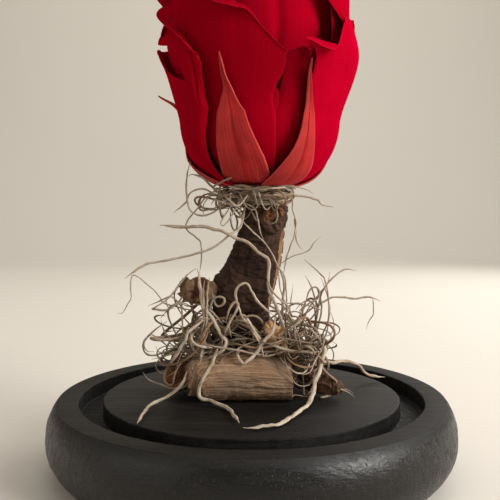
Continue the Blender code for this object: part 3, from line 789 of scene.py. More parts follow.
def build_wood(name, look):
    wood = WOOD[name]
    rings, grains = wood_grid(name, wood)
    points = rings.reshape(-1, 3)
    for spot, normal in wood.cuts:
        normal = np.array(normal) / np.linalg.norm(normal)
        over = (points - np.array(spot)) @ normal
        points = points - np.outer(np.clip(over, 0.0, None) * CUT_SHARE, normal)
    points[:, 2] = np.maximum(points[:, 2], BASE_TOP + REST_GAP)
    quads, first, last = ring_faces(len(rings), wood.sides)
    return make_piece(f"{name}_fine", points, quads.tolist() + [first, last], look, [name],
                      grains.reshape(-1, 3))


KNOT_CENTRE = (6.9, -7.2, 79.0)
KNOT_OUTWARD = (0.28, -1.0, 0.10)
KNOT_RADIUS = 4.1
KNOT_SEGMENTS = 72
KNOT_RINGS = 26
# Where the eye and the twig's stump are on the knot's face, from its centre
KNOT_EYE = (-1.5, 0.9)
KNOT_TWIG = (1.9, 2.7)
# A ball that fills the knot, which the moss goes round
KNOT_BALL = (6.4, -5.6, 79.0)
KNOT_BALL_RADIUS = KNOT_RADIUS + 0.6


def build_knot(look):
    """The rough lump of a lost twig, with a small light eye."""
    centre, outward = np.array(KNOT_CENTRE), np.array(KNOT_OUTWARD)
    outward /= np.linalg.norm(outward)
    side = np.cross((0.0, 0.0, 1.0), outward)
    side /= np.linalg.norm(side)
    other = np.cross(outward, side)
    verts, grains = [], []
    for n in range(KNOT_RINGS):
        share = 1.0 - n / KNOT_RINGS
        for k in range(KNOT_SEGMENTS):
            angle = TAU * k / KNOT_SEGMENTS
            p, q = math.cos(angle), math.sin(angle)
            reach = KNOT_RADIUS * share * (1.0 + 0.22 * noise.noise(Vector((p * 1.4, q * 1.4, 2.0))))
            p, q = p * reach, q * reach * 1.12
            eye = math.dist((p, q), KNOT_EYE)
            twig = math.dist((p, q), KNOT_TWIG)
            around_twig = math.atan2(q - KNOT_TWIG[1], p - KNOT_TWIG[0])
            fold = p - 0.7 - 0.9 * math.sin(q * 0.9)
            lift = 1.2 * max(1.0 - share ** 4, 0.0) ** 0.8 - 1.1 - 1.1 * math.exp(-(fold / 0.45) ** 2)
            lift += 0.85 * noise.noise(Vector((p * 0.7, q * 0.7, 7.0)))
            lift += 0.38 * noise.noise(Vector((p * 2.0, q * 2.0, 1.0)))
            lift += (0.7 + 0.20 * math.sin(around_twig * 9.0)) * max(1.0 - (twig / 2.4) ** 2, 0.0)
            lift += 0.30 * math.exp(-((eye - 0.85) / 0.3) ** 2) - 0.55 * math.exp(-(eye / 0.42) ** 2)
            verts.append(centre + side * p + other * q + outward * lift)
            rusty = 0.80 * max(1.0 - (twig / 2.4) ** 2, 0.0) + 0.45 * max(1.0 - (eye / 2.4) ** 2, 0.0)
            ring = 0.95 * math.exp(-((eye - 0.8) / 0.36) ** 2)
            grains.append((twig * 1.5, around_twig * 3.0, max(rusty, ring)))
    quads, first, last = ring_faces(KNOT_RINGS, KNOT_SEGMENTS)
    return make_piece("knot_fine", verts, quads.tolist() + [first, last], look, [], grains)


# Rose

@dataclass
class Petal:
    """A petal round the rose's axis. Lists run evenly up the petal or from its left to its right."""
    name: str
    shell: float
    azimuth: float
    left: tuple      # degrees to the left edge, upwards
    right: tuple     # degrees to the right edge, upwards
    top: tuple       # height of the rim's crest, across
    lip: tuple       # how far the upper part leans out, across
    # The tone is partly the petal's own red and partly painted light: bright petals on the lit right, deep
    # ones at the shaded front and left.
    tone: float      # from deep to bright red
    roll: tuple = (0.9, 0.9)    # radius of the rolled rim, across
    hem: tuple = (2.4, 2.4)     # way from the roll's start to the rim, across
    belly: float = 0.0
    ragged: float = 0.3
    wave: tuple = (0.35, 2.0)   # depth and number of the upper part's waves
    scallops: tuple = ()        # one above another near the right edge: depth, height of a crest, spacing
    creases: tuple = ()         # upright folds: place across, depth and width of each


@dataclass
class Sepal:
    """A sepal that lies on the petals; its edges are azimuths, upwards."""
    name: str
    shell: float
    left: tuple
    right: tuple
    tip_height: float
    stand_off: tuple


# The petals' tones paint light and shade as well as their own red: bright towards the lit right, deep at the
# front and the left.
OUTER_PETALS = (
    Petal("petal_front_left", -0.03, -135,
          (7, 8, 9, 9.5, 9.5, 8.5, 6, 3.8, 3.2, 3, 3, 3.4, 4.0, 5.2, 8, 22.5, 15),
          (4, 1.5, 3, 8.5, 8, 9.5, 10.5, 11, 9.5),
          (133.4, 135.7, 135.2, 133.6, 131.2, 128.6, 126.0), (0.6, -1.2, -1.4, -0.4, -0.4), 0.16,
          roll=(0.4, 1.3, 1.5, 1.0, 0.6), hem=(0.8, 3.6, 4.0, 2.4, 1.2), belly=2.0, ragged=0.12,
          wave=(0.25, 1.5), creases=((0.70, 0.8, 0.06),)),
    Petal("petal_right", 0.008, -15,
          (34, 34, 36, 40, 42, 43, 43, 45, 54), (34, 40, 46, 46, 36),
          (129.6, 129.2, 128.6, 128.6, 130, 135, 139, 139.2, 139.2, 139.6, 140.5, 141.2, 141.8, 141.6, 141,
           139.5, 137),
          (1.5, 0.8, 0, -1, -2.4, -3.2, -3.0, -1.6, 0), 1.0,
          roll=(0.5, 0.55, 0.55, 0.45, 0.35, 0.3, 0.3, 0.4, 0.6, 0.8, 0.9, 0.9),
          hem=(1.8, 3.0, 3.5, 1.3, 0.8, 0.8, 0.8, 1.0, 1.5, 2.0, 2.4, 2.4), belly=1.2, ragged=0.25),
    Petal("petal_back", 0.0, 81, (34, 44, 48, 48, 38), (34, 44, 48, 48, 38),
          (137, 142, 144, 143, 138), (2, 2.5, 2, 2.5, 2), 0.55,
          roll=(1.1, 1.3, 1.1), hem=(3, 3.6, 3), wave=(0.5, 2.2)),
    Petal("petal_left", 0.03, 180, (34, 44, 47, 47, 40), (30, 38, 42, 43, 38),
          (133, 134.5, 134.5, 133.6, 132.6, 129.5, 124, 121.4, 119.4), (0.8, 0.8, 0.9, 0.8, 0.6), 0.36,
          roll=(0.8, 0.6, 0.4, 0.3, 0.25), hem=(2, 1.5, 0.9, 0.6, 0.5), belly=1.6, ragged=0.55,
          wave=(0.3, 2.6)),
    Petal("petal_right_back", 0.11, 34, (30, 36, 42, 48, 52, 54, 56, 77, 95), (30, 38, 42, 42, 34),
          (148, 152, 152, 148, 142), (-1.5, -1.4, 0, 2, 1), 0.35, wave=(0.4, 2.0)),
    Petal("petal_front", 0.075, -103, (32, 33, 34, 36, 40, 44, 46, 47, 46), (30, 25, 21.5, 27, 28),
          (149.5, 149, 147.5, 145, 142.2, 140.4, 139.2, 137.3, 132.4, 128.8, 126.5),
          (1.0, 1.0, 1.0, 1.0, 0.8, 0.6, 0.3, 0.1, 0), 0.10,
          roll=(0.9, 0.9, 0.9, 0.9, 0.9, 0.85, 0.7, 0.45, 0.3, 0.3, 0.3),
          hem=(2.4, 2.4, 2.4, 2.6, 3.2, 3.6, 3.2, 1.8, 0.8, 0.7, 0.7), ragged=0.1, wave=(0.25, 1.4)),
    Petal("petal_front_inner", 0.125, -98, (20, 20, 20, 20, 16), (20, 20, 21.5, 21.5, 14),
          (119, 124, 125, 124, 119), (0, 0, 0), 0.2, roll=(0.3, 0.3), hem=(0.6, 0.6), wave=(0.2, 1.3)),
    Petal("petal_middle", 0.185, -66, (24, 24, 22, 14, 10, 8, 7, 6.5, 6), (20, 15, 16, 17, 18, 17, 14, 12, 9),
          (126.4, 127.4, 127.8, 128.4, 128.6, 128, 126.6), (0, 0.2, 0.6, 1.0, 1.4), 0.26,
          roll=(0.5, 0.6, 0.8, 0.8), hem=(1.0, 1.4, 1.9, 1.9), belly=1.6, ragged=0.1, wave=(0.2, 1.2)),
    Petal("petal_left_wavy", 0.09, 165, (30, 36, 40, 40, 36), (24, 40, 54, 60, 58),
          (144, 148, 148, 149, 150), (2, 2, 1, 0, -1), 0.20, roll=(0.9, 0.7, 0.6), hem=(2.4, 1.6, 1.4),
          wave=(0.4, 2.6), scallops=(3.6, 141.7, 5.6)),
    Petal("petal_right_inner", 0.18, -4,
          (24, 27, 30, 32, 34), (24, 32, 36, 36, 30),
          (150, 152, 153, 152, 147), (-0.8, 0.6, 1.2, 1.2, 1), 0.55, roll=(0.6, 0.9, 0.9), wave=(0.35, 1.8)),
    Petal("petal_left_inner", 0.175, -140, (30, 38, 42, 42, 36), (30, 38, 40, 38, 32),
          (147, 150, 151, 149, 145), (1.5, 2, 2, 2, 1), 0.3, wave=(0.35, 1.9)),
    Petal("petal_back_inner", 0.17, 94, (34, 40, 44, 44, 38), (34, 40, 44, 44, 38),
          (147, 150, 151, 150, 147), (1.5, 2, 2, 2, 1), 0.55, roll=(1.0, 1.1, 1.0), wave=(0.35, 2.0)),
)
SEPALS = (
    Sepal("sepal_front", 0.02,
          (-142, -137.6, -128.1, -124.4, -121.6, -119.2, -117.0, -114.6, -113.7, -114.0, -113.9, -113.6,
           -113.2),
          (-79.1, -78.4, -83.9, -91.8, -99.4, -103.4, -105.8, -107.6, -109.5, -111.0, -111.5, -112.0,
           -112.6),
          126, (0, 0, 0, 0, 0.1, 0.3)),
    Sepal("sepal_front_right", -0.035,
          (-90, -83.1, -74.0, -65.4, -61.2, -60.3, -60.5, -61.2, -61.8, -62.5, -63.1, -63.5, -63.7),
          (-31, -33.9, -40.3, -47.8, -51.4, -53.5, -55.3, -57.0, -58.6, -60.2, -61.4, -62.4, -63.2),
          124, (0, 0, 0, 0.2, 0.3, 0.8)),
    Sepal("sepal_left", -0.045,
          (-212, -214, -218, -222, -222, -220, -217, -214, -211, -208, -205, -203, -202),
          (-136, -145, -163, -188, -197, -200, -201, -200, -199, -199, -199.5, -200, -200.5),
          120.5, (0, 0, 0, 0.4, 2.4, 6.4)),
    Sepal("sepal_right_back", -0.045,
          (-12, -2, 8, 16, 22, 26, 29, 31, 32.5, 34, 35, 35.6, 36),
          (66, 62, 56, 50, 46, 43, 41, 39.5, 38.5, 37.6, 37, 36.6, 36.4), 124, (0, 0, 0, 0, 0.4, 1.2)),
    Sepal("sepal_back", -0.04,
          (56, 66, 74, 81, 86, 89.6, 92, 94, 95.4, 96.4, 97, 97.4, 97.8),
          (138, 128, 120, 114, 110, 107, 104.6, 102.6, 101, 99.8, 99, 98.6, 98.2),
          125, (0, 0, 0, 0, 0.4, 1.2)),
)


def bud_petals():
    """The bud's petals close up towards the heart: wider round it, and a little lower."""
    made = []
    for k in range(BUD_PETALS):
        inwards = k / (BUD_PETALS - 1)
        wide = mix(58.0, 92.0, inwards)
        reach = (wide * 0.6, wide * 0.85, wide, wide, wide * 0.85)
        crown = mix(154.5, 151.0, inwards)
        top = (crown - 3.5, crown - 0.6, crown, crown - 0.6, crown - 3.5)
        lip = mix(1.4, 0.2, inwards)
        roll = mix(0.8, 0.35, inwards)
        made.append(Petal(f"bud_petal_{k + 1:02d}", 0.27 + 0.058 * k, -72 + GOLDEN_ANGLE * k, reach, reach,
                          top, (lip, lip), 0.45 + 0.35 * math.sin(k * 2.4), roll=(roll, roll),
                          hem=(roll * 2.8, roll * 2.8), wave=(mix(0.3, 0.12, inwards), 1.6),
                          creases=((0.43, 1.1, 0.035), (0.82, 1.8, 0.10)) if k == 0 else ()))
    return made


def meridian(shell, v, top):
    """Distance from the rose's axis and height, at share v of the way up a shell."""
    seat_radius = mix(SEAT_RADIUS, HEART_SEAT_RADIUS, shell)
    seat_height = mix(SEAT_HEIGHT, HEART_SEAT_HEIGHT, shell)
    wall = mix(WALL_RADIUS, HEART_WALL_RADIUS, shell)
    cup_top = mix(CUP_TOP, HEART_CUP_TOP, shell)
    turn = math.pi / 2 * np.clip(v / CUP_SHARE, 0.0, 1.0)
    out = np.sin(turn) ** (2.0 / CUP_ROUNDNESS)
    down = np.maximum(np.cos(turn), 0.0) ** (2.0 / CUP_ROUNDNESS)
    rise = np.clip((v - CUP_SHARE) / (1.0 - CUP_SHARE), 0.0, 1.0)
    height = np.where(v < CUP_SHARE, mix(cup_top, seat_height, down), mix(cup_top, top, rise))
    flare = FLARE * max(1.0 - shell, 0.0) ** 1.2
    flare_start = mix(FLARE_START, HEART_FLARE_START, shell)
    opening = smoothstep((height - flare_start) / FLARE_SPAN) * (v >= CUP_SHARE)
    return mix(seat_radius, wall, out) + flare * opening, height


def rose_points(radius, azimuth, height):
    a = np.radians(azimuth)
    return np.stack([ROSE_X + radius * np.cos(a), radius * np.sin(a), height + 0.0 * radius], -1)


def petal_points(petal, u, v, seed):
    """A petal's middle sheet on a grid: u runs from its left edge to its right, v upwards."""
    across = (u + 1.0) / 2.0
    crest = along(petal.top, across) + petal.ragged * ripple(across * 3.0, seed)
    crest = crest + petal.ragged * 0.35 * ripple(across * 9.0, seed + 1)
    roll, hem = along(petal.roll, across), along(petal.hem, across)
    radius, height = meridian(petal.shell, v, crest + hem - roll)
    curl = np.clip((v - LIP_SHARE) / (1.0 - LIP_SHARE), 0.0, 1.0)
    radius = radius + along(petal.lip, across) * curl ** 2
    radius = radius + petal.belly * (1.0 - np.abs(u) ** 3) * np.sin(math.pi * np.clip(v * 1.15, 0, 1)) ** 2
    swell, count = petal.wave
    radius = radius + swell * smoothstep((v - 0.45) / 0.5) * ripple(across * count, seed + 2)
    if petal.scallops:
        depth, crest_height, spacing = petal.scallops
        wave = (0.5 + 0.5 * np.cos(TAU * (height - crest_height) / spacing)) ** 0.5
        radius = radius + depth * wave * np.exp(-((u - 0.42) / 0.24) ** 2) * smoothstep((v - 0.72) / 0.12)
    for place, depth, width in petal.creases:
        bend = np.exp(-((across + 0.03 * np.sin(v * 7.0) - place) / width) ** 2)
        radius = radius - depth * bend * smoothstep((v - 0.30) / 0.35)
    past = np.clip(height - (crest - roll), 0.0, None)
    turn = np.minimum(past / roll, ROLL_END)
    over = past - turn * roll
    radius = radius + roll * (1.0 - np.cos(turn)) + over * math.sin(ROLL_END)
    height = height - past + roll * np.sin(turn) + over * math.cos(ROLL_END)
    sway = 0.5 * ripple(v * 2.2 + 0.0 * u, seed + 3) * smoothstep(v / 0.3)
    left = along(petal.left, v) + sway
    right = along(petal.right, v) - sway
    return rose_points(radius, petal.azimuth + mix(-left, right, across), height)


def sepal_points(sepal, u, v, seed):
    """A sepal's middle sheet: a shallow keel along its middle, and edges that lift a little."""
    radius, height = meridian(sepal.shell, v, sepal.tip_height)
    edge = 0.012 * ripple(v * 9.0, seed) + 0.006 * ripple(v * 31.0, seed + 1)
    across = (u * (1.0 + edge) + 1.0) / 2.0
    radius = radius + along(sepal.stand_off, v)
    keel = 0.30 * u * u - 0.40 * np.exp(-(u / 0.10) ** 2)
    radius = radius + keel * smoothstep(v * 8.0) * smoothstep((1 - v) * 4)
    return rose_points(radius, mix(along(sepal.left, v), along(sepal.right, v), across), height)


def build_sheet(name, points_at, grid, thickness, look, tone, seed):
    """A closed thin body on both sides of a sheet, thinner at its edges."""
    columns, rows = grid
    u = np.linspace(-1.0, 1.0, columns + 1)[None, :]
    v = 1.0 - (1.0 - np.linspace(0.0, 1.0, rows + 1)[:, None]) ** ROW_CROWDING
    middle = points_at(u, v, seed)
    over = np.gradient(middle, axis=1)
    up = np.gradient(middle, axis=0)
    normal = np.cross(over, up)
    normal /= np.maximum(np.linalg.norm(normal, axis=2, keepdims=True), 1e-9)
    inside = np.minimum(np.minimum(1.0 - np.abs(u), (1.0 - v)) * EDGE_THINNING, 1.0)
    half = thickness / 2 * (RIM_THICKNESS + (1.0 - RIM_THICKNESS) * np.sqrt(inside))[..., None]
    verts = np.concatenate([middle + normal * half, middle - normal * half]).reshape(-1, 3)
    width = columns + 1
    count = width * (rows + 1)
    j, i = np.meshgrid(np.arange(rows), np.arange(columns), indexing="ij")
    a = (j * width + i).ravel()
    outer = np.stack([a, a + 1, a + 1 + width, a + width], -1)
    faces = np.concatenate([outer, outer[:, ::-1] + count]).tolist()
    loop = list(range(columns)) + [j * width + columns for j in range(rows)]
    loop += [rows * width + i for i in range(columns, 0, -1)] + [j * width for j in range(rows, 0, -1)]
    for k, a in enumerate(loop):
        b = loop[(k + 1) % len(loop)]
        faces.append((b, a, count + a, count + b))
    marks = np.stack(np.broadcast_arrays(u, v, np.array(tone)), -1).reshape(-1, 3)
    return make_piece(f"{name}_fine", verts, faces, look, [name], np.concatenate([marks, marks]))


def build_petals(petals, grid, look, thickness, first_seed):
    for n, petal in enumerate(petals):
        build_sheet(petal.name, partial(petal_points, petal), grid, thickness, look,
                    petal.tone, first_seed + SEED_STEP * n)


def build_sepals(sepals, look, thickness):
    for n, sepal in enumerate(sepals):
        build_sheet(sepal.name, partial(sepal_points, sepal), SEPAL_GRID, thickness, look,
                    0.0, SEPAL_SEED + SEED_STEP * n)


def build_receptacle(look):
    """The hip, with low ribs under the sepals."""
    profile = ((0.2, 84.4), (3.2, 84.4), (4.6, 85.1), (5.6, 86.0), (6.3, 87.0), (6.8, 88.0), (7.1, 88.8),
               (7.2, 89.6), (4.0, 97.0), (0.7, 105.6))
    verts, grains = [], []
    count = 60
    for n, (radius, height) in enumerate(profile):
        for k in range(count):
            angle = TAU * k / count
            rib = 1.0 + 0.03 * math.cos(5 * angle) * (2 < n < 7)
            verts.append((ROSE_X + radius * rib * math.cos(angle), radius * rib * math.sin(angle), height))
            grains.append((math.sin(angle * 5) * 0.6, n / (len(profile) - 1), 0.0))
    quads, first, last = ring_faces(len(profile), count)
    return make_piece("receptacle_fine", verts, quads.tolist() + [first, last], look, ["receptacle"],
                      grains)


# Moss

# Single strands, which can be told apart: the radius and the route of each, its free end first
COLLAR_STRANDS = (
    (0.42, ((-19, -6, 97), (-20, -6, 93.5), (-20.5, -6, 88), (-19.5, -6, 82), (-16, -7, 80),
            (-12, -6.5, 81), (-9, -5, 83), (-4, -3, 85))),
    (0.40, ((-25, -3, 81), (-21, -4, 84), (-19.5, -5, 87), (-17, -6, 88.3), (-14, -7, 88), (-9, -5, 85),
            (-4, -4, 84))),
    (0.42, ((-16.6, -4, 61.5), (-16, -5, 65.5), (-16, -5, 71), (-17.5, -5, 73), (-20, -5, 75),
            (-20.7, -5, 77), (-19, -5, 80), (-17, -5, 82.5), (-14, -4, 86), (-8, -4, 86))),
    (0.62, ((-29, -5, 76.8), (-21, -6, 76.5), (-15.5, -8, 76.5), (-10, -9, 75.4), (-6, -9.5, 73.5),
            (-1.5, -10, 71.7), (2, -10, 69), (5, -9.5, 66), (5.3, -9.8, 61.8), (5.4, -9.8, 57),
            (7, -9.5, 53), (8.5, -9, 49.5), (10, -8, 45), (11, -6, 40))),
    (0.55, ((-40.3, -5, 60), (-35.5, -5, 63.6), (-32, -5, 65), (-26.5, -5, 66), (-20, -6, 67.4),
            (-16, -7, 68.4), (-12, -8, 70), (-8, -9, 73), (-4, -9, 76), (-2.5, -8, 80), (-2, -5, 84))),
    (0.45, ((26, -5, 82.7), (22.5, -5, 83.6), (21, -5, 85), (18, -5, 85.6), (12, -5, 86.5), (6, -4, 86))),
    (0.40, ((10, -3, 60), (11, -4, 66.5), (12, -4.5, 69.5), (13.5, -4.5, 73.5), (14, -4.5, 77.6),
            (13, -4.5, 82), (12.3, -5, 86), (6, -5, 87))),
    (0.35, ((22, -3, 73.2), (20, -3, 71.6), (18, -3, 68.8), (13, -4.5, 67.2), (9, -6, 64.7))),
    (0.45, ((-19.6, -7, 92.2), (-18.4, -7, 92.9), (-15.5, -7, 91.8), (-13, -7, 89.6), (-10.5, -7, 86.8),
            (-8, -6.5, 84.3), (-3, -6, 83))),
    (0.50, ((12.5, -7, 44.3), (11, -8, 49), (11, -9, 53.7), (10.7, -9, 58.7), (10.1, -9, 61.1),
            (7.7, -9, 65.2), (5.7, -9.2, 69.4), (3.5, -9, 72.1), (0.1, -9, 75.2), (-2.7, -8.5, 78.3),
            (-3.6, -8, 81), (-3, -6, 84))),
    (0.42, ((3.8, -8.8, 72.4), (2.6, -9, 75.2), (2, -9.4, 78.9), (1, -9.5, 81.9), (-1.4, -8.5, 83.5),
            (-4.6, -7, 84.9))),
    (0.50, ((-5.2, -8, 85.2), (-7.6, -9, 81.4), (-9.5, -9, 78), (-8.9, -9, 76.8), (-7.6, -9, 78),
            (-6.1, -9, 80.2), (-4.2, -8, 83.9), (-2, -6, 86))),
    (0.42, ((-13.9, -8, 79.4), (-14.9, -8, 80.5), (-15, -8, 82.7), (-14.5, -8, 84.3), (-13, -8, 86.1),
            (-11.1, -7.5, 88), (-7, -7, 88.4))),
    (0.35, ((16.3, -4, 69), (14.8, -4, 70.9), (14.1, -4, 73.2), (14.1, -4, 75.4), (13.4, -4.4, 79))),
    (0.38, ((-8, -12.5, 91), (-6, -12, 91.6), (-9.5, -10.5, 90.2), (-12, -8.5, 88.6), (-9, -6.5, 86.6),
            (-5, -5, 86))),
    (0.34, ((19.6, -5, 86.8), (16.5, -6, 88.4), (13, -7, 89), (8, -7.5, 88.6), (3, -8, 87.6),
            (-3, -8, 87.4))),
)
TANGLE_STRANDS = (
    (0.45, ((16.5, -5, 66.3), (21, -6, 62.2), (23, -7, 59.9), (23.9, -7, 56.2), (24.2, -7, 52.5),
            (24.2, -7, 47), (22.3, -7, 42.6), (21, -6, 38))),
    (0.40, ((34, 0, 62.2), (30.4, 0, 62.6), (27, -2, 60.7), (24, -4, 58.2), (22, -5, 54.7), (21, -5, 50.3),
            (18, -4, 46))),
    (0.50, ((41.7, 0, 52.4), (38.1, 0, 53.7), (33.3, 0, 53), (30, 0, 53.7), (26, 0, 53.3), (20, 0, 50),
            (16, 1, 47))),
    (0.35, ((37.2, 0, 43), (38.1, 0, 45.3), (39.7, 0, 47.9), (39.7, 0, 49.8), (39.4, 0, 53))),
    (0.80, ((-2.5, -41, 22.9), (3, -38.5, 23), (8, -36, 23), (15, -23, 23.2), (18, -18, 25),
            (19.5, -13, 28.5), (22, -8, 33), (23, -5, 38), (20, -2, 42))),
    (0.85, ((46.5, 16.4, 23.2), (44, 16, 23.6), (40, 14, 25), (37, 12, 28), (34.5, 10, 30), (31, 8, 30.5),
            (22, 0, 32))),
    (0.40, ((32.5, -5.5, 23), (31, -4.5, 24), (27.6, -4, 25), (26.6, -4, 27), (22, -2, 31))),
    (0.40, ((-43.2, -2, 48.8), (-41.9, -2, 48.5), (-40, -2, 51.3), (-38.7, -2, 53.6), (-39, -2, 57.1),
            (-38.7, -2, 60), (-37.8, -2, 60.8), (-35.5, -2, 59.4), (-32.4, -2, 56.8), (-29.8, -2, 54.2),
            (-28.2, -2, 51.7), (-22, -1, 50), (-16, 0, 48))),
    (0.38, ((-33.3, -3, 51.1), (-26.3, -3, 54.2), (-23.8, -3, 56.8), (-22, -3, 58.7))),
    (0.40, ((-27.1, -3, 46.1), (-31.2, -3, 43.2), (-34.3, -3, 40), (-35, -3, 37.5), (-33.8, -3, 35.6),
            (-31.2, -3, 35), (-27.8, -3, 35.9), (-22, -3, 36), (-18, -2, 37))),
    (0.55, ((-34.3, -6, 30), (-32.7, -6, 28), (-29.3, -6, 26.4), (-25.2, -7.5, 25.4), (-22, -9.5, 26),
            (-19, -12, 28.5), (-17, -12, 33))),
    (0.62, ((-31.5, -36.5, 23), (-31.3, -29, 23.2), (-30.5, -19, 23.3), (-28, -14, 23.4),
            (-25.4, -13, 24.4), (-22.5, -13, 27), (-20, -12, 31), (-18, -8, 36))),
    (0.68, ((-3.5, -36, 22.9), (-5.5, -27.5, 23.1), (-8, -20, 23.2), (-11.5, -17.5, 23.6),
            (-15.5, -16, 24.8), (-16, -15.3, 27.5), (-14.5, -15.3, 31), (-12, -13.5, 35), (-10, -9, 39))),
    (0.78, ((7, -9, 49), (5.1, -10, 50.1), (2.9, -10, 52.2), (1, -10, 55), (-0.3, -10, 57.3),
            (-1.5, -10, 58.8), (-3.0, -10, 59.0), (-4.3, -10, 57.6), (-4.9, -10, 55), (-4.5, -10, 52.8),
            (-3.6, -10.2, 50.4), (-2.7, -10.5, 48.5), (0.1, -11, 44.5), (2.9, -12, 39.5),
            (3.5, -12.5, 36.7))),
    (0.62, ((7.1, -11, 49.5), (6.7, -11.5, 44.5), (3.8, -12, 41.5), (1.9, -13, 38.4), (-1.4, -14.4, 35.5),
            (-2.9, -14.4, 34.8), (-4.2, -13.5, 36.6), (-4, -10, 39))),
    (0.95, ((-17.4, -7, 63.2), (-16.4, -8, 61.4), (-15.8, -8.5, 56.7), (-15.5, -9, 52), (-13.9, -9, 49.8),
            (-11.4, -9.5, 46.6), (-9.5, -10, 43.2), (-8.1, -10.5, 40.4), (-9.5, -11, 37.5),
            (-14, -11, 35))),
    (0.85, ((-14.6, -8, 60), (-15.1, -9, 53.7), (-15.1, -9.5, 47.1), (-15.4, -10, 42.4), (-15.4, -11, 37.7),
            (-16, -12, 34.6))),
    (0.90, ((-14.4, -10, 48.2), (-16.6, -11.5, 46.6), (-19.4, -12, 44.1), (-20.9, -12, 41),
            (-22.8, -11.5, 37.9), (-25.2, -10.5, 34.2))),
    (0.70, ((-13.2, -8.5, 61), (-13.6, -9, 57), (-14.0, -9.6, 52), (-14.2, -10, 47), (-14.8, -10.5, 41),
            (-15.4, -11, 37))),
    (0.42, ((32.6, -8, 22.8), (30.1, -8, 24.6), (27.3, -8, 25.8), (26.7, -8, 27.8), (24, -7, 30),
            (21, -5, 33))),
    (0.60, ((-15.5, -12, 40.2), (-9.4, -13, 39.6), (-4.5, -13.5, 38.6), (0.1, -13.5, 37.7),
            (3.2, -13, 37.4))),
    (0.70, ((4.8, -12.5, 40.4), (9.7, -12, 38.9), (14.3, -11, 37.9), (18, -10, 37.3), (20.5, -9, 37.6))),
    (0.50, ((8.5, -13, 36.5), (10.7, -13, 34), (13.2, -12.5, 31.8), (15.3, -12, 31.2), (16.9, -11, 32.1),
            (18.1, -10, 34))),
    (0.40, ((18.5, -8, 22.9), (16.7, -8, 23), (14.8, -8, 23.2), (13.2, -8, 23.3), (12, -10, 22.6))),
    (0.35, ((16.5, -8, 50.5), (17, -8, 53.5), (18.2, -8, 56.7), (20.1, -8, 57.6), (21.3, -8, 56),
            (20.7, -8, 53.8), (18.5, -8, 52.9), (15, -7, 50))),
    (0.38, ((14, -9, 41), (16.3, -9, 42.6), (18.2, -8.5, 42.2), (18.8, -8, 40.1), (17.9, -8, 37.9),
            (16, -8, 37.5), (14, -8, 39))),
    (0.40, ((21.9, -6, 25.4), (24.1, -6, 24.8), (26.6, -6, 23.8), (24.7, -7, 23), (21.5, -8, 22.6))),
    (0.34, ((-31.3, -4, 36.4), (-33.5, -4, 36.8), (-34.5, -4, 38.7), (-33.5, -4, 40.9), (-31.9, -4, 42),
            (-27, -3, 38))),
    (0.36, ((-24.3, -4, 50.2), (-26.6, -4, 50.8), (-27.2, -4, 53), (-25.9, -4, 54.3), (-24, -4, 53),
            (-21, -3, 49))),
    (0.45, ((8, -8, 65.2), (9.3, -7, 62.1), (10.3, -7, 57.9), (9.9, -7, 53.2), (9, -8, 46), (7, -9, 40))),
    (0.40, ((24.9, -4, 62), (24, -4, 58.1), (21.1, -4, 54.3), (17.6, -4, 49.2), (15.4, -4, 43.5),
            (13, -3, 38))),
    (0.50, ((-12.3, -8.5, 56.7), (-11.7, -9, 53.3), (-10.5, -9.5, 51.7), (-8.6, -10, 52.7),
            (-8.9, -10, 54.5), (-11.7, -9.5, 54.2), (-13.4, -9, 50))),
    (0.50, ((-8, -10, 46.7), (-7, -10.5, 50.5), (-5.5, -10.5, 53), (-4.2, -10.5, 52.7), (-4.9, -11, 50.2),
            (-6.7, -11, 47), (-8.4, -11, 43))),
    (0.45, ((8, -8.5, 64.1), (9.2, -9, 56.6), (11.7, -9, 49.6), (14.2, -8.5, 43.3), (15.2, -8, 38.9),
            (13, -9, 36))),
    (0.40, ((12.9, -8, 58.6), (12.3, -8, 52.6), (12, -8.5, 47.3), (13.5, -9, 41), (16, -8, 36))),
    (0.42, ((16.9, -5, 61.1), (19.4, -5, 56.3), (20.7, -5, 50), (20.4, -5, 43.6), (18.2, -5, 39.8),
            (14, -4, 37))),
    (0.52, ((22.1, -5, 60.3), (23.9, -6, 54.7), (24.6, -7, 49), (23.3, -8, 42.7), (21.1, -9, 36.7),
            (18, -11, 31.7), (15.5, -12, 30.7))),
    (0.34, ((24.7, -3, 50.4), (26.3, -3, 46.5), (26.3, -3, 43.3), (24.4, -3, 41.4), (19, -3, 41))),
    (0.34, ((9, -6, 51.8), (12.7, -6, 52.3), (16.2, -6, 52), (20.3, -6, 50.8), (22, -6, 50))),
    (0.38, ((20.8, -4, 56.9), (22.4, -4, 51.4), (21.4, -4, 45.1), (19.2, -4, 38.7), (16.7, -4, 36.1))),
    (0.48, ((5.7, -9.5, 65.5), (5.1, -10, 60.5), (6.6, -10, 56.2), (9.1, -9.5, 53.7), (11.3, -9, 51.8),
            (13, -8, 48))),
    (0.42, ((-17.5, -6, 63.4), (-20.3, -6, 61.2), (-23.8, -6, 57.1), (-26.9, -6, 53.6), (-30.4, -6, 51.1),
            (-31.4, -5, 50.4), (-27.4, -5, 50), (-23.9, -5, 51.9), (-22, -5, 54.4), (-21.7, -5, 56.3))),
    (0.40, ((-29, -5, 46.8), (-27.7, -5, 43), (-25.2, -5, 40.4), (-22.6, -5, 36.6))),
    (0.38, ((-32, -6, 34.3), (-27.9, -6, 35.3), (-23.8, -6, 36.8), (-20, -6, 39.4), (-15, -5, 43))),
    (0.34, ((-30.5, -5, 38.2), (-29, -5, 36.3), (-25.8, -5, 37.3), (-23.9, -5, 38.9), (-20, -5, 41))),
    (0.40, ((-23.7, -7, 53.4), (-19.9, -7, 51.5), (-16.2, -8, 52.2), (-13, -9, 50.6), (-9, -9, 46))),
)

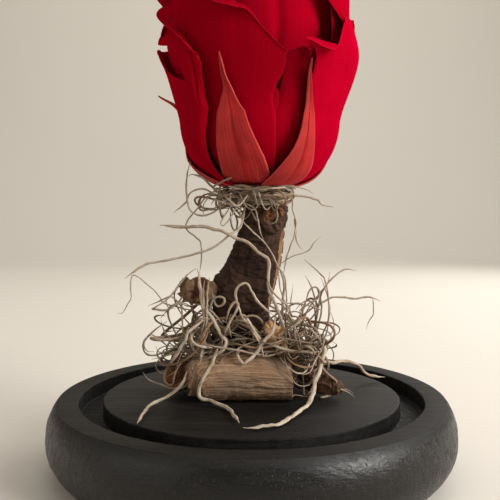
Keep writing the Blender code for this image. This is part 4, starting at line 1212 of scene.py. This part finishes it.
# Nests of loose strands. Curl is the turning in radians a millimetre, shade the range of the share of the
# pale colour; the second nest of each tangle, lower and nearer the wood, is kept dark as painted shade deep
# in the tangle, and the collar's are not.
# A wound nest's strands go round the rose's axis.
Nest = namedtuple("Nest", "centre radii count length thickness curl shade wound", defaults=(False,))
NESTS = {
    "moss_tangle_left": (Nest((-20.5, 0, 40.5), (8.5, 10, 11), 15, (28, 75), (0.26, 0.50), 0.065, (0.0, 0.8)),
                         Nest((-17, 3, 34), (9, 8.5, 7.5), 20, (20, 50), (0.22, 0.42), 0.10, (0.0, 0.35))),
    "moss_tangle_front": (Nest((-1, -8, 41.5), (15, 4, 6), 24, (20, 50), (0.28, 0.56), 0.085, (0.1, 0.9)),
                          Nest((1, 0, 35), (17, 7, 5.5), 34, (20, 50), (0.24, 0.45), 0.10, (0.0, 0.3))),
    "moss_tangle_right": (Nest((17.5, 0, 40), (7, 7.5, 9.5), 10, (30, 80), (0.26, 0.48), 0.06, (0.05, 0.8)),
                          Nest((14.5, 1, 34), (8, 9, 7), 22, (20, 50), (0.22, 0.45), 0.10, (0.0, 0.35))),
    "moss_tangle_back": (Nest((-1, 13, 37), (18, 8.5, 13), 70, (30, 80), (0.24, 0.50), 0.09, (0.05, 0.8)),
                         Nest((0, 11, 32), (18, 9, 8), 60, (20, 50), (0.24, 0.45), 0.10, (0.0, 0.35))),
    "moss_collar": (Nest((2.4, -0.5, 86.8), (10.8, 10.2, 2.4), 58, (16, 44), (0.22, 0.56), 0.0, (0.1, 1.0),
                         wound=True),
                    Nest((1.5, -1.0, 85.6), (8.5, 8.0, 2.8), 24, (18, 40), (0.20, 0.42), 0.06, (0.05, 0.8)),
                    Nest((-6, -3.5, 84), (8, 5, 4), 10, (24, 50), (0.22, 0.40), 0.10, (0.2, 0.7))),
}
NEST_NODES = {"moss_tangle_front": ["moss_tangle"], "moss_collar": ["moss_collar"]}
SINGLE_STRANDS = {"moss_tangle_front": TANGLE_STRANDS, "moss_collar": COLLAR_STRANDS}
# Balls that fill each piece of wood along its path, which the moss goes round
WOOD_BALLS = 16
WOOD_BALL_SHARE = 1.05
FLAKE_BALL_SHARE = 0.6
CLEARING_PASSES = 2
SMOOTHING_PASSES = 3
STRAND_STEP = 0.9
SINGLE_STRAND_STEP = 0.6
SINGLE_STRAND_SIDES = 8
LOOSE_STRAND_SIDES = 6
# Share of its radius in the tables that a single strand gets
SINGLE_STRAND_SHARE = 0.86
# Share of the loose strands that is rusty, and their tone
RUSTY_SHARE = 0.16
RUSTY_TONE = 1.2
PALEST_SINGLE_STRAND = 0.80
RUSTY_SEED = 50


DRIFT_OFFSETS = ((0.0, 0.0, 0.0), (17.3, 5.1, 9.7), (3.9, 23.6, 14.2))


def drift(place):
    """A vector that changes smoothly from place to place. The noise library's own differs from run to run."""
    return Vector([noise.noise(place + Vector(offset)) for offset in DRIFT_OFFSETS])


def any_way(draw):
    return Vector((draw.gauss(0, 1), draw.gauss(0, 1), draw.gauss(0, 1)))


def wander(draw, nest):
    """A strand that turns slowly this way and that, and turns back where it leaves its nest."""
    centre, radii = Vector(nest.centre), nest.radii
    start = any_way(draw).normalized() * draw.uniform(0.3, 1.0)
    spot = Vector([s * r for s, r in zip(start, radii)])
    flatness = Vector([r / max(radii) for r in radii])
    way = any_way(draw) * flatness
    way.normalize()
    turning = any_way(draw) * nest.curl * 0.6
    bound = draw.uniform(0.75, 1.12)
    points = []
    for _ in range(int(draw.uniform(*nest.length) / STRAND_STEP)):
        points.append(centre + spot)
        turning = turning * 0.94 + any_way(draw) * nest.curl * 0.2
        way = way + turning.cross(way) * STRAND_STEP
        share = Vector([s / r for s, r in zip(spot, radii)])
        outward = Vector([s / r for s, r in zip(share, radii)]).normalized()
        way = way - outward * max(share.length - bound, 0.0) * 0.5
        way.normalize()
        spot = spot + way * STRAND_STEP
    return np.array(points)


def wound(draw, nest):
    """A strand that goes part of the way round its nest, higher and lower, inwards and outwards."""
    length = draw.uniform(*nest.length)
    t = np.linspace(0.0, 1.0, int(length / STRAND_STEP))
    level = draw.uniform(-0.9, 0.9)
    reach = draw.uniform(0.45, 0.95) * (1.0 + 0.22 * level)
    sweep = length / (nest.radii[0] * reach) * draw.choice((-1.0, 1.0))
    angle = draw.uniform(0.0, TAU) + sweep * t
    reach = reach * (1.0 + 0.20 * ripple(t * 1.6, draw.randrange(10 ** 6)))
    level = level + 0.55 * ripple(t * 1.4, draw.randrange(10 ** 6))
    way = np.stack([np.cos(angle) * reach, np.sin(angle) * reach, level], -1)
    return np.array(nest.centre) + way * np.array(nest.radii)


def wood_spots():
    """Balls that fill the wood, which the moss goes round."""
    spots, reach = [], []
    for name, wood in WOOD.items():
        t = np.linspace(0.0, 1.0, WOOD_BALLS)
        spots.append(along(wood.path, t))
        reach.append(along(wood.radii, t) * (FLAKE_BALL_SHARE if name == "bark_flake" else WOOD_BALL_SHARE))
    spots.append(np.array([KNOT_BALL]))
    reach.append(np.array([KNOT_BALL_RADIUS]))
    return np.concatenate(spots), np.concatenate(reach)


def keep_clear(points, thickness, spots, reach):
    """Points inside the wood or the base are moved out to its surface."""
    for _ in range(CLEARING_PASSES):
        gaps = points[:, None, :] - spots[None]
        apart = np.linalg.norm(gaps, axis=2)
        push = np.clip(reach + thickness - apart, 0.0, None)
        worst = push.argmax(1)
        rows = np.arange(len(points))
        direction = gaps[rows, worst] / np.maximum(apart[rows, worst], 1e-6)[:, None]
        points = points + direction * push[rows, worst][:, None]
    points[:, 2] = np.maximum(points[:, 2], BASE_TOP + thickness)
    return points


def smoothed(points, times):
    for _ in range(times):
        points[1:-1] = (points[:-2] + points[1:-1] * 2 + points[2:]) / 4
    return points


def tube(points, thickness, draw, tone, sides):
    """A slightly flat, tapering strand. Returns its points, grain and faces."""
    ways = travelled(points)
    across, other = frames_along(points)
    t = ways / ways[-1]
    swell = thickness * (1.0 + 0.16 * ripple(ways / 9.0, draw.randrange(10 ** 6)))
    swell = swell * (1.0 + 0.13 * ripple(ways / 2.4, draw.randrange(10 ** 6)))
    swell = swell * (0.25 + 0.75 * smoothstep(t * ways[-1] / 5.0))
    swell = swell * (0.45 + 0.55 * smoothstep((1 - t) * 12))
    angles = TAU * np.arange(sides) / sides + draw.random() * TAU
    flat = draw.uniform(0.45, 1.0)
    rings = (points[:, None, :] + across[:, None, :] * (np.cos(angles)[None, :] * swell[:, None])[..., None]
             + other[:, None, :] * (np.sin(angles)[None, :] * swell[:, None] * flat)[..., None])
    streaks = ways[:, None] + draw.random() * 50
    marks = np.stack(np.broadcast_arrays(streaks, angles[None] * 0.8, np.array(tone)), -1)
    quads, first, last = ring_faces(len(points), sides)
    return rings.reshape(-1, 3), marks.reshape(-1, 3), quads, first, last


def build_moss(name, nests, single_strands, look, nodes, seed, fullness):
    """One tangle as a single mesh: the strands that can be told apart, and loose ones."""
    draw = random.Random(seed)
    rusty_draw = random.Random(seed + RUSTY_SEED)
    spots, reach = wood_spots()
    strands = []
    for thickness, route in single_strands:
        length = travelled(np.array(route, float))[-1]
        points = along(route, np.linspace(0.0, 1.0, int(length / SINGLE_STRAND_STEP) + 4))
        kinks = [drift(Vector(p) * 0.22) * 0.65 + drift(Vector(p) * 0.6) * 0.25 for p in points]
        points = points + np.array(kinks) * thickness
        tone = min(PALEST_SINGLE_STRAND, 0.24 + thickness * 0.62 + draw.uniform(-0.22, 0.22))
        strands.append((points, thickness * SINGLE_STRAND_SHARE, tone, SINGLE_STRAND_SIDES))
    for nest in nests:
        for _ in range(int(nest.count * fullness)):
            thickness = draw.uniform(*nest.thickness)
            points = wound(draw, nest) if nest.wound else wander(draw, nest)
            points = smoothed(keep_clear(points, thickness, spots, reach), SMOOTHING_PASSES)
            # The nest's tone range also paints shade: strands of the lower nests near the wood are dark.
            tone = mix(*nest.shade, draw.random() ** 1.3)
            if rusty_draw.random() < RUSTY_SHARE:
                tone = RUSTY_TONE
            strands.append((points, thickness, tone, LOOSE_STRAND_SIDES))
    verts, grains, faces = [], [], []
    start = 0
    for points, thickness, tone, sides in strands:
        ring_points, marks, quads, first, last = tube(points, thickness, draw, tone, sides)
        verts.append(ring_points)
        grains.append(marks)
        faces.extend((quads + start).tolist())
        faces.append(tuple(i + start for i in first))
        faces.append(tuple(i + start for i in last))
        start += len(ring_points)
    return make_piece(f"{name}_fine", np.concatenate(verts), faces, look, nodes,
                      np.concatenate(grains))


# Stage

def build_floor(look):
    """A wide level floor that sweeps up behind the object."""
    profile = [(-FLOOR_HALF_WIDTH, 0.0), (FLOOR_MIDDLE_ROW, 0.0), (SWEEP_START, 0.0)]
    for k in range(1, SWEEP_STEPS + 1):
        a = math.pi / 2 * k / SWEEP_STEPS
        profile.append((SWEEP_START + SWEEP_RADIUS * math.sin(a), SWEEP_RADIUS - SWEEP_RADIUS * math.cos(a)))
    profile.append((SWEEP_START + SWEEP_RADIUS, WALL_TOP))
    verts = [(x, y, z) for y, z in profile for x in (-FLOOR_HALF_WIDTH, FLOOR_HALF_WIDTH)]
    faces = [(2 * i, 2 * i + 1, 2 * i + 3, 2 * i + 2) for i in range(len(profile) - 1)]
    mesh = bpy.data.meshes.new("floor")
    mesh.from_pydata(verts, [], faces)
    mesh.shade_smooth()
    mesh.materials.append(look)
    floor = bpy.data.objects.new("floor", mesh)
    bpy.context.scene.collection.objects.link(floor)


def add_light(name, place, aim, size, power, colour):
    lamp = bpy.data.lights.new(name, "AREA")
    lamp.energy = power
    lamp.size = size
    lamp.color = colour
    made = bpy.data.objects.new(name, lamp)
    made.location = place
    made.rotation_euler = (Vector(aim) - Vector(place)).to_track_quat("-Z", "Y").to_euler()
    bpy.context.scene.collection.objects.link(made)


def add_camera():
    data = bpy.data.cameras.new("camera")
    data.lens = CAMERA_LENS
    data.sensor_width = CAMERA_SENSOR
    data.clip_start = 0.01
    camera = bpy.data.objects.new("camera", data)
    camera.location = CAMERA_PLACE
    camera.rotation_euler = (math.radians(90 - CAMERA_DOWNWARDS), 0.0, 0.0)
    bpy.context.scene.collection.objects.link(camera)
    bpy.context.scene.camera = camera


# Operators: one for each piece or group of like pieces

class PRESERVED_ROSE_OT_stage(bpy.types.Operator):
    """Add the floor, the lights and the camera"""
    bl_idname = "preserved_rose.stage"
    bl_label = "Stage"

    def execute(self, context):
        settings = context.scene.rose_stage
        build_floor(floor_look(settings))
        power = settings.light
        middle = (0.0, 0.0, 0.09)
        add_light("window_light", (0.66, -0.36, 0.42), middle, 0.45, power, (1.0, 0.97, 0.94))
        add_light("fill_light", (-0.75, -0.45, 0.35), middle, 0.7, power * 0.12, (1.0, 0.95, 0.90))
        add_light("back_light", (0.45, 0.55, 0.45), middle, 0.5, power * 0.30, (1.0, 0.98, 0.95))
        add_light("wall_light", (0.0, 0.45, 1.20), (0.0, 1.5, 0.35), 1.0, power * 0.9, (1.0, 0.98, 0.96))
        world = bpy.data.worlds.new("soft_room")
        world.use_nodes = True
        background = world.node_tree.nodes["Background"]
        background.inputs["Color"].default_value = (0.86, 0.79, 0.70, 1.0)
        background.inputs["Strength"].default_value = 0.50
        context.scene.world = world
        context.scene.view_settings.view_transform = "Standard"
        add_camera()
        return {"FINISHED"}


class PRESERVED_ROSE_OT_base(bpy.types.Operator):
    """Build the turned base with its ring groove"""
    bl_idname = "preserved_rose.base"
    bl_label = "Base"

    def execute(self, context):
        build_base(context.scene.rose_base)
        return {"FINISHED"}


class PRESERVED_ROSE_OT_wood(bpy.types.Operator):
    """Build the branch, its arm and knot, and the pieces of wood at its foot"""
    bl_idname = "preserved_rose.wood"
    bl_label = "Wood"

    def execute(self, context):
        settings = context.scene.rose_wood
        bark, rust, core = tuple(settings.bark), tuple(settings.rust), tuple(settings.core)
        dark = bark_look("dark_bark_relief", bark, tint(bark, 1.75), tint(bark, 0.3), core)
        rusty = bark_look("rusty_bark_relief", rust, tint(rust, 1.9), tint(rust, 0.25), RUSTY_CORE)
        peeled = tuple(settings.peeled)
        # The stub's bare patch takes the near-black colour: painted shade inside its hollow.
        stub = bark_look("weathered_stub_painted_hollow", tint(peeled, 0.75), tint(peeled, 1.1), tint(bark, 0.8),
                         STUB_HOLLOW_SHADE)
        root = bark_look("root_bark", tint(bark, 1.8), tint(peeled, 0.55), tint(bark, 0.3), tint(core, 0.4))
        flake = bark_look("light_bark_flake", core, tint(core, 1.4), tint(rust, 0.8), tint(core, 1.2))
        build_wood("branch", dark)
        build_wood("branch_arm", stub)
        build_knot(bark_look("knot_bark", tint(bark, 1.1), tint(bark, 2.2), tint(bark, 0.25), KNOT_CORE))
        build_wood("log", peeled_look(settings))
        build_wood("root_piece", root)
        build_wood("wood_chunk", rusty)
        build_wood("bark_flake", flake)
        return {"FINISHED"}


class PRESERVED_ROSE_OT_petals(bpy.types.Operator):
    """Build the outer petals and the bud"""
    bl_idname = "preserved_rose.petals"
    bl_label = "Petals"

    def execute(self, context):
        settings = context.scene.rose_petals
        look = petal_look(settings)
        thickness = settings.petal_thickness / MM
        build_petals(OUTER_PETALS, OUTER_PETAL_GRID, look, thickness, OUTER_PETAL_SEED)
        build_petals(bud_petals(), BUD_PETAL_GRID, look, thickness, BUD_PETAL_SEED)
        return {"FINISHED"}


class PRESERVED_ROSE_OT_sepals(bpy.types.Operator):
    """Build the sepals and the hip"""
    bl_idname = "preserved_rose.sepals"
    bl_label = "Sepals"

    def execute(self, context):
        settings = context.scene.rose_petals
        look = sepal_look(settings)
        build_sepals(SEPALS, look, settings.sepal_thickness / MM)
        build_receptacle(look)
        return {"FINISHED"}


class PRESERVED_ROSE_OT_moss(bpy.types.Operator):
    """Wind the dried moss round the branch and under the rose"""
    bl_idname = "preserved_rose.moss"
    bl_label = "Moss"

    def execute(self, context):
        settings = context.scene.rose_moss
        look = moss_look(settings)
        for n, (name, nests) in enumerate(NESTS.items()):
            build_moss(name, nests, SINGLE_STRANDS.get(name, ()), look,
                       NEST_NODES.get(name, []), MOSS_SEED + n, settings.fullness)
        return {"FINISHED"}


class PRESERVED_ROSE_PT_pieces(bpy.types.Panel):
    """Lists the rose's pieces"""
    bl_label = "Preserved rose"
    bl_idname = "PRESERVED_ROSE_PT_pieces"
    bl_space_type = "VIEW_3D"
    bl_region_type = "UI"
    bl_category = "Rose"

    def draw(self, context):
        for operator, settings in STEPS:
            box = self.layout.box()
            box.operator(operator.bl_idname)
            group = getattr(context.scene, settings)
            for key in group.__annotations__:
                box.prop(group, key)


STEPS = (
    (PRESERVED_ROSE_OT_stage, "rose_stage"),
    (PRESERVED_ROSE_OT_base, "rose_base"),
    (PRESERVED_ROSE_OT_wood, "rose_wood"),
    (PRESERVED_ROSE_OT_petals, "rose_petals"),
    (PRESERVED_ROSE_OT_sepals, "rose_petals"),
    (PRESERVED_ROSE_OT_moss, "rose_moss"),
)
SETTINGS = {
    "rose_stage": RoseStageSettings,
    "rose_base": RoseBaseSettings,
    "rose_wood": RoseWoodSettings,
    "rose_petals": RosePetalSettings,
    "rose_moss": RoseMossSettings,
}


def register():
    for name, group in SETTINGS.items():
        bpy.utils.register_class(group)
        setattr(bpy.types.Scene, name, PointerProperty(type=group))
    for operator, _ in STEPS:
        bpy.utils.register_class(operator)
    bpy.utils.register_class(PRESERVED_ROSE_PT_pieces)


def unregister():
    bpy.utils.unregister_class(PRESERVED_ROSE_PT_pieces)
    for operator, _ in reversed(STEPS):
        bpy.utils.unregister_class(operator)
    for name, group in SETTINGS.items():
        delattr(bpy.types.Scene, name)
        bpy.utils.unregister_class(group)


def main():
    register()
    bpy.ops.preserved_rose.stage()
    bpy.ops.preserved_rose.base()
    bpy.ops.preserved_rose.wood()
    bpy.ops.preserved_rose.petals()
    bpy.ops.preserved_rose.sepals()
    bpy.ops.preserved_rose.moss()


if __name__ == "__main__":
    main()
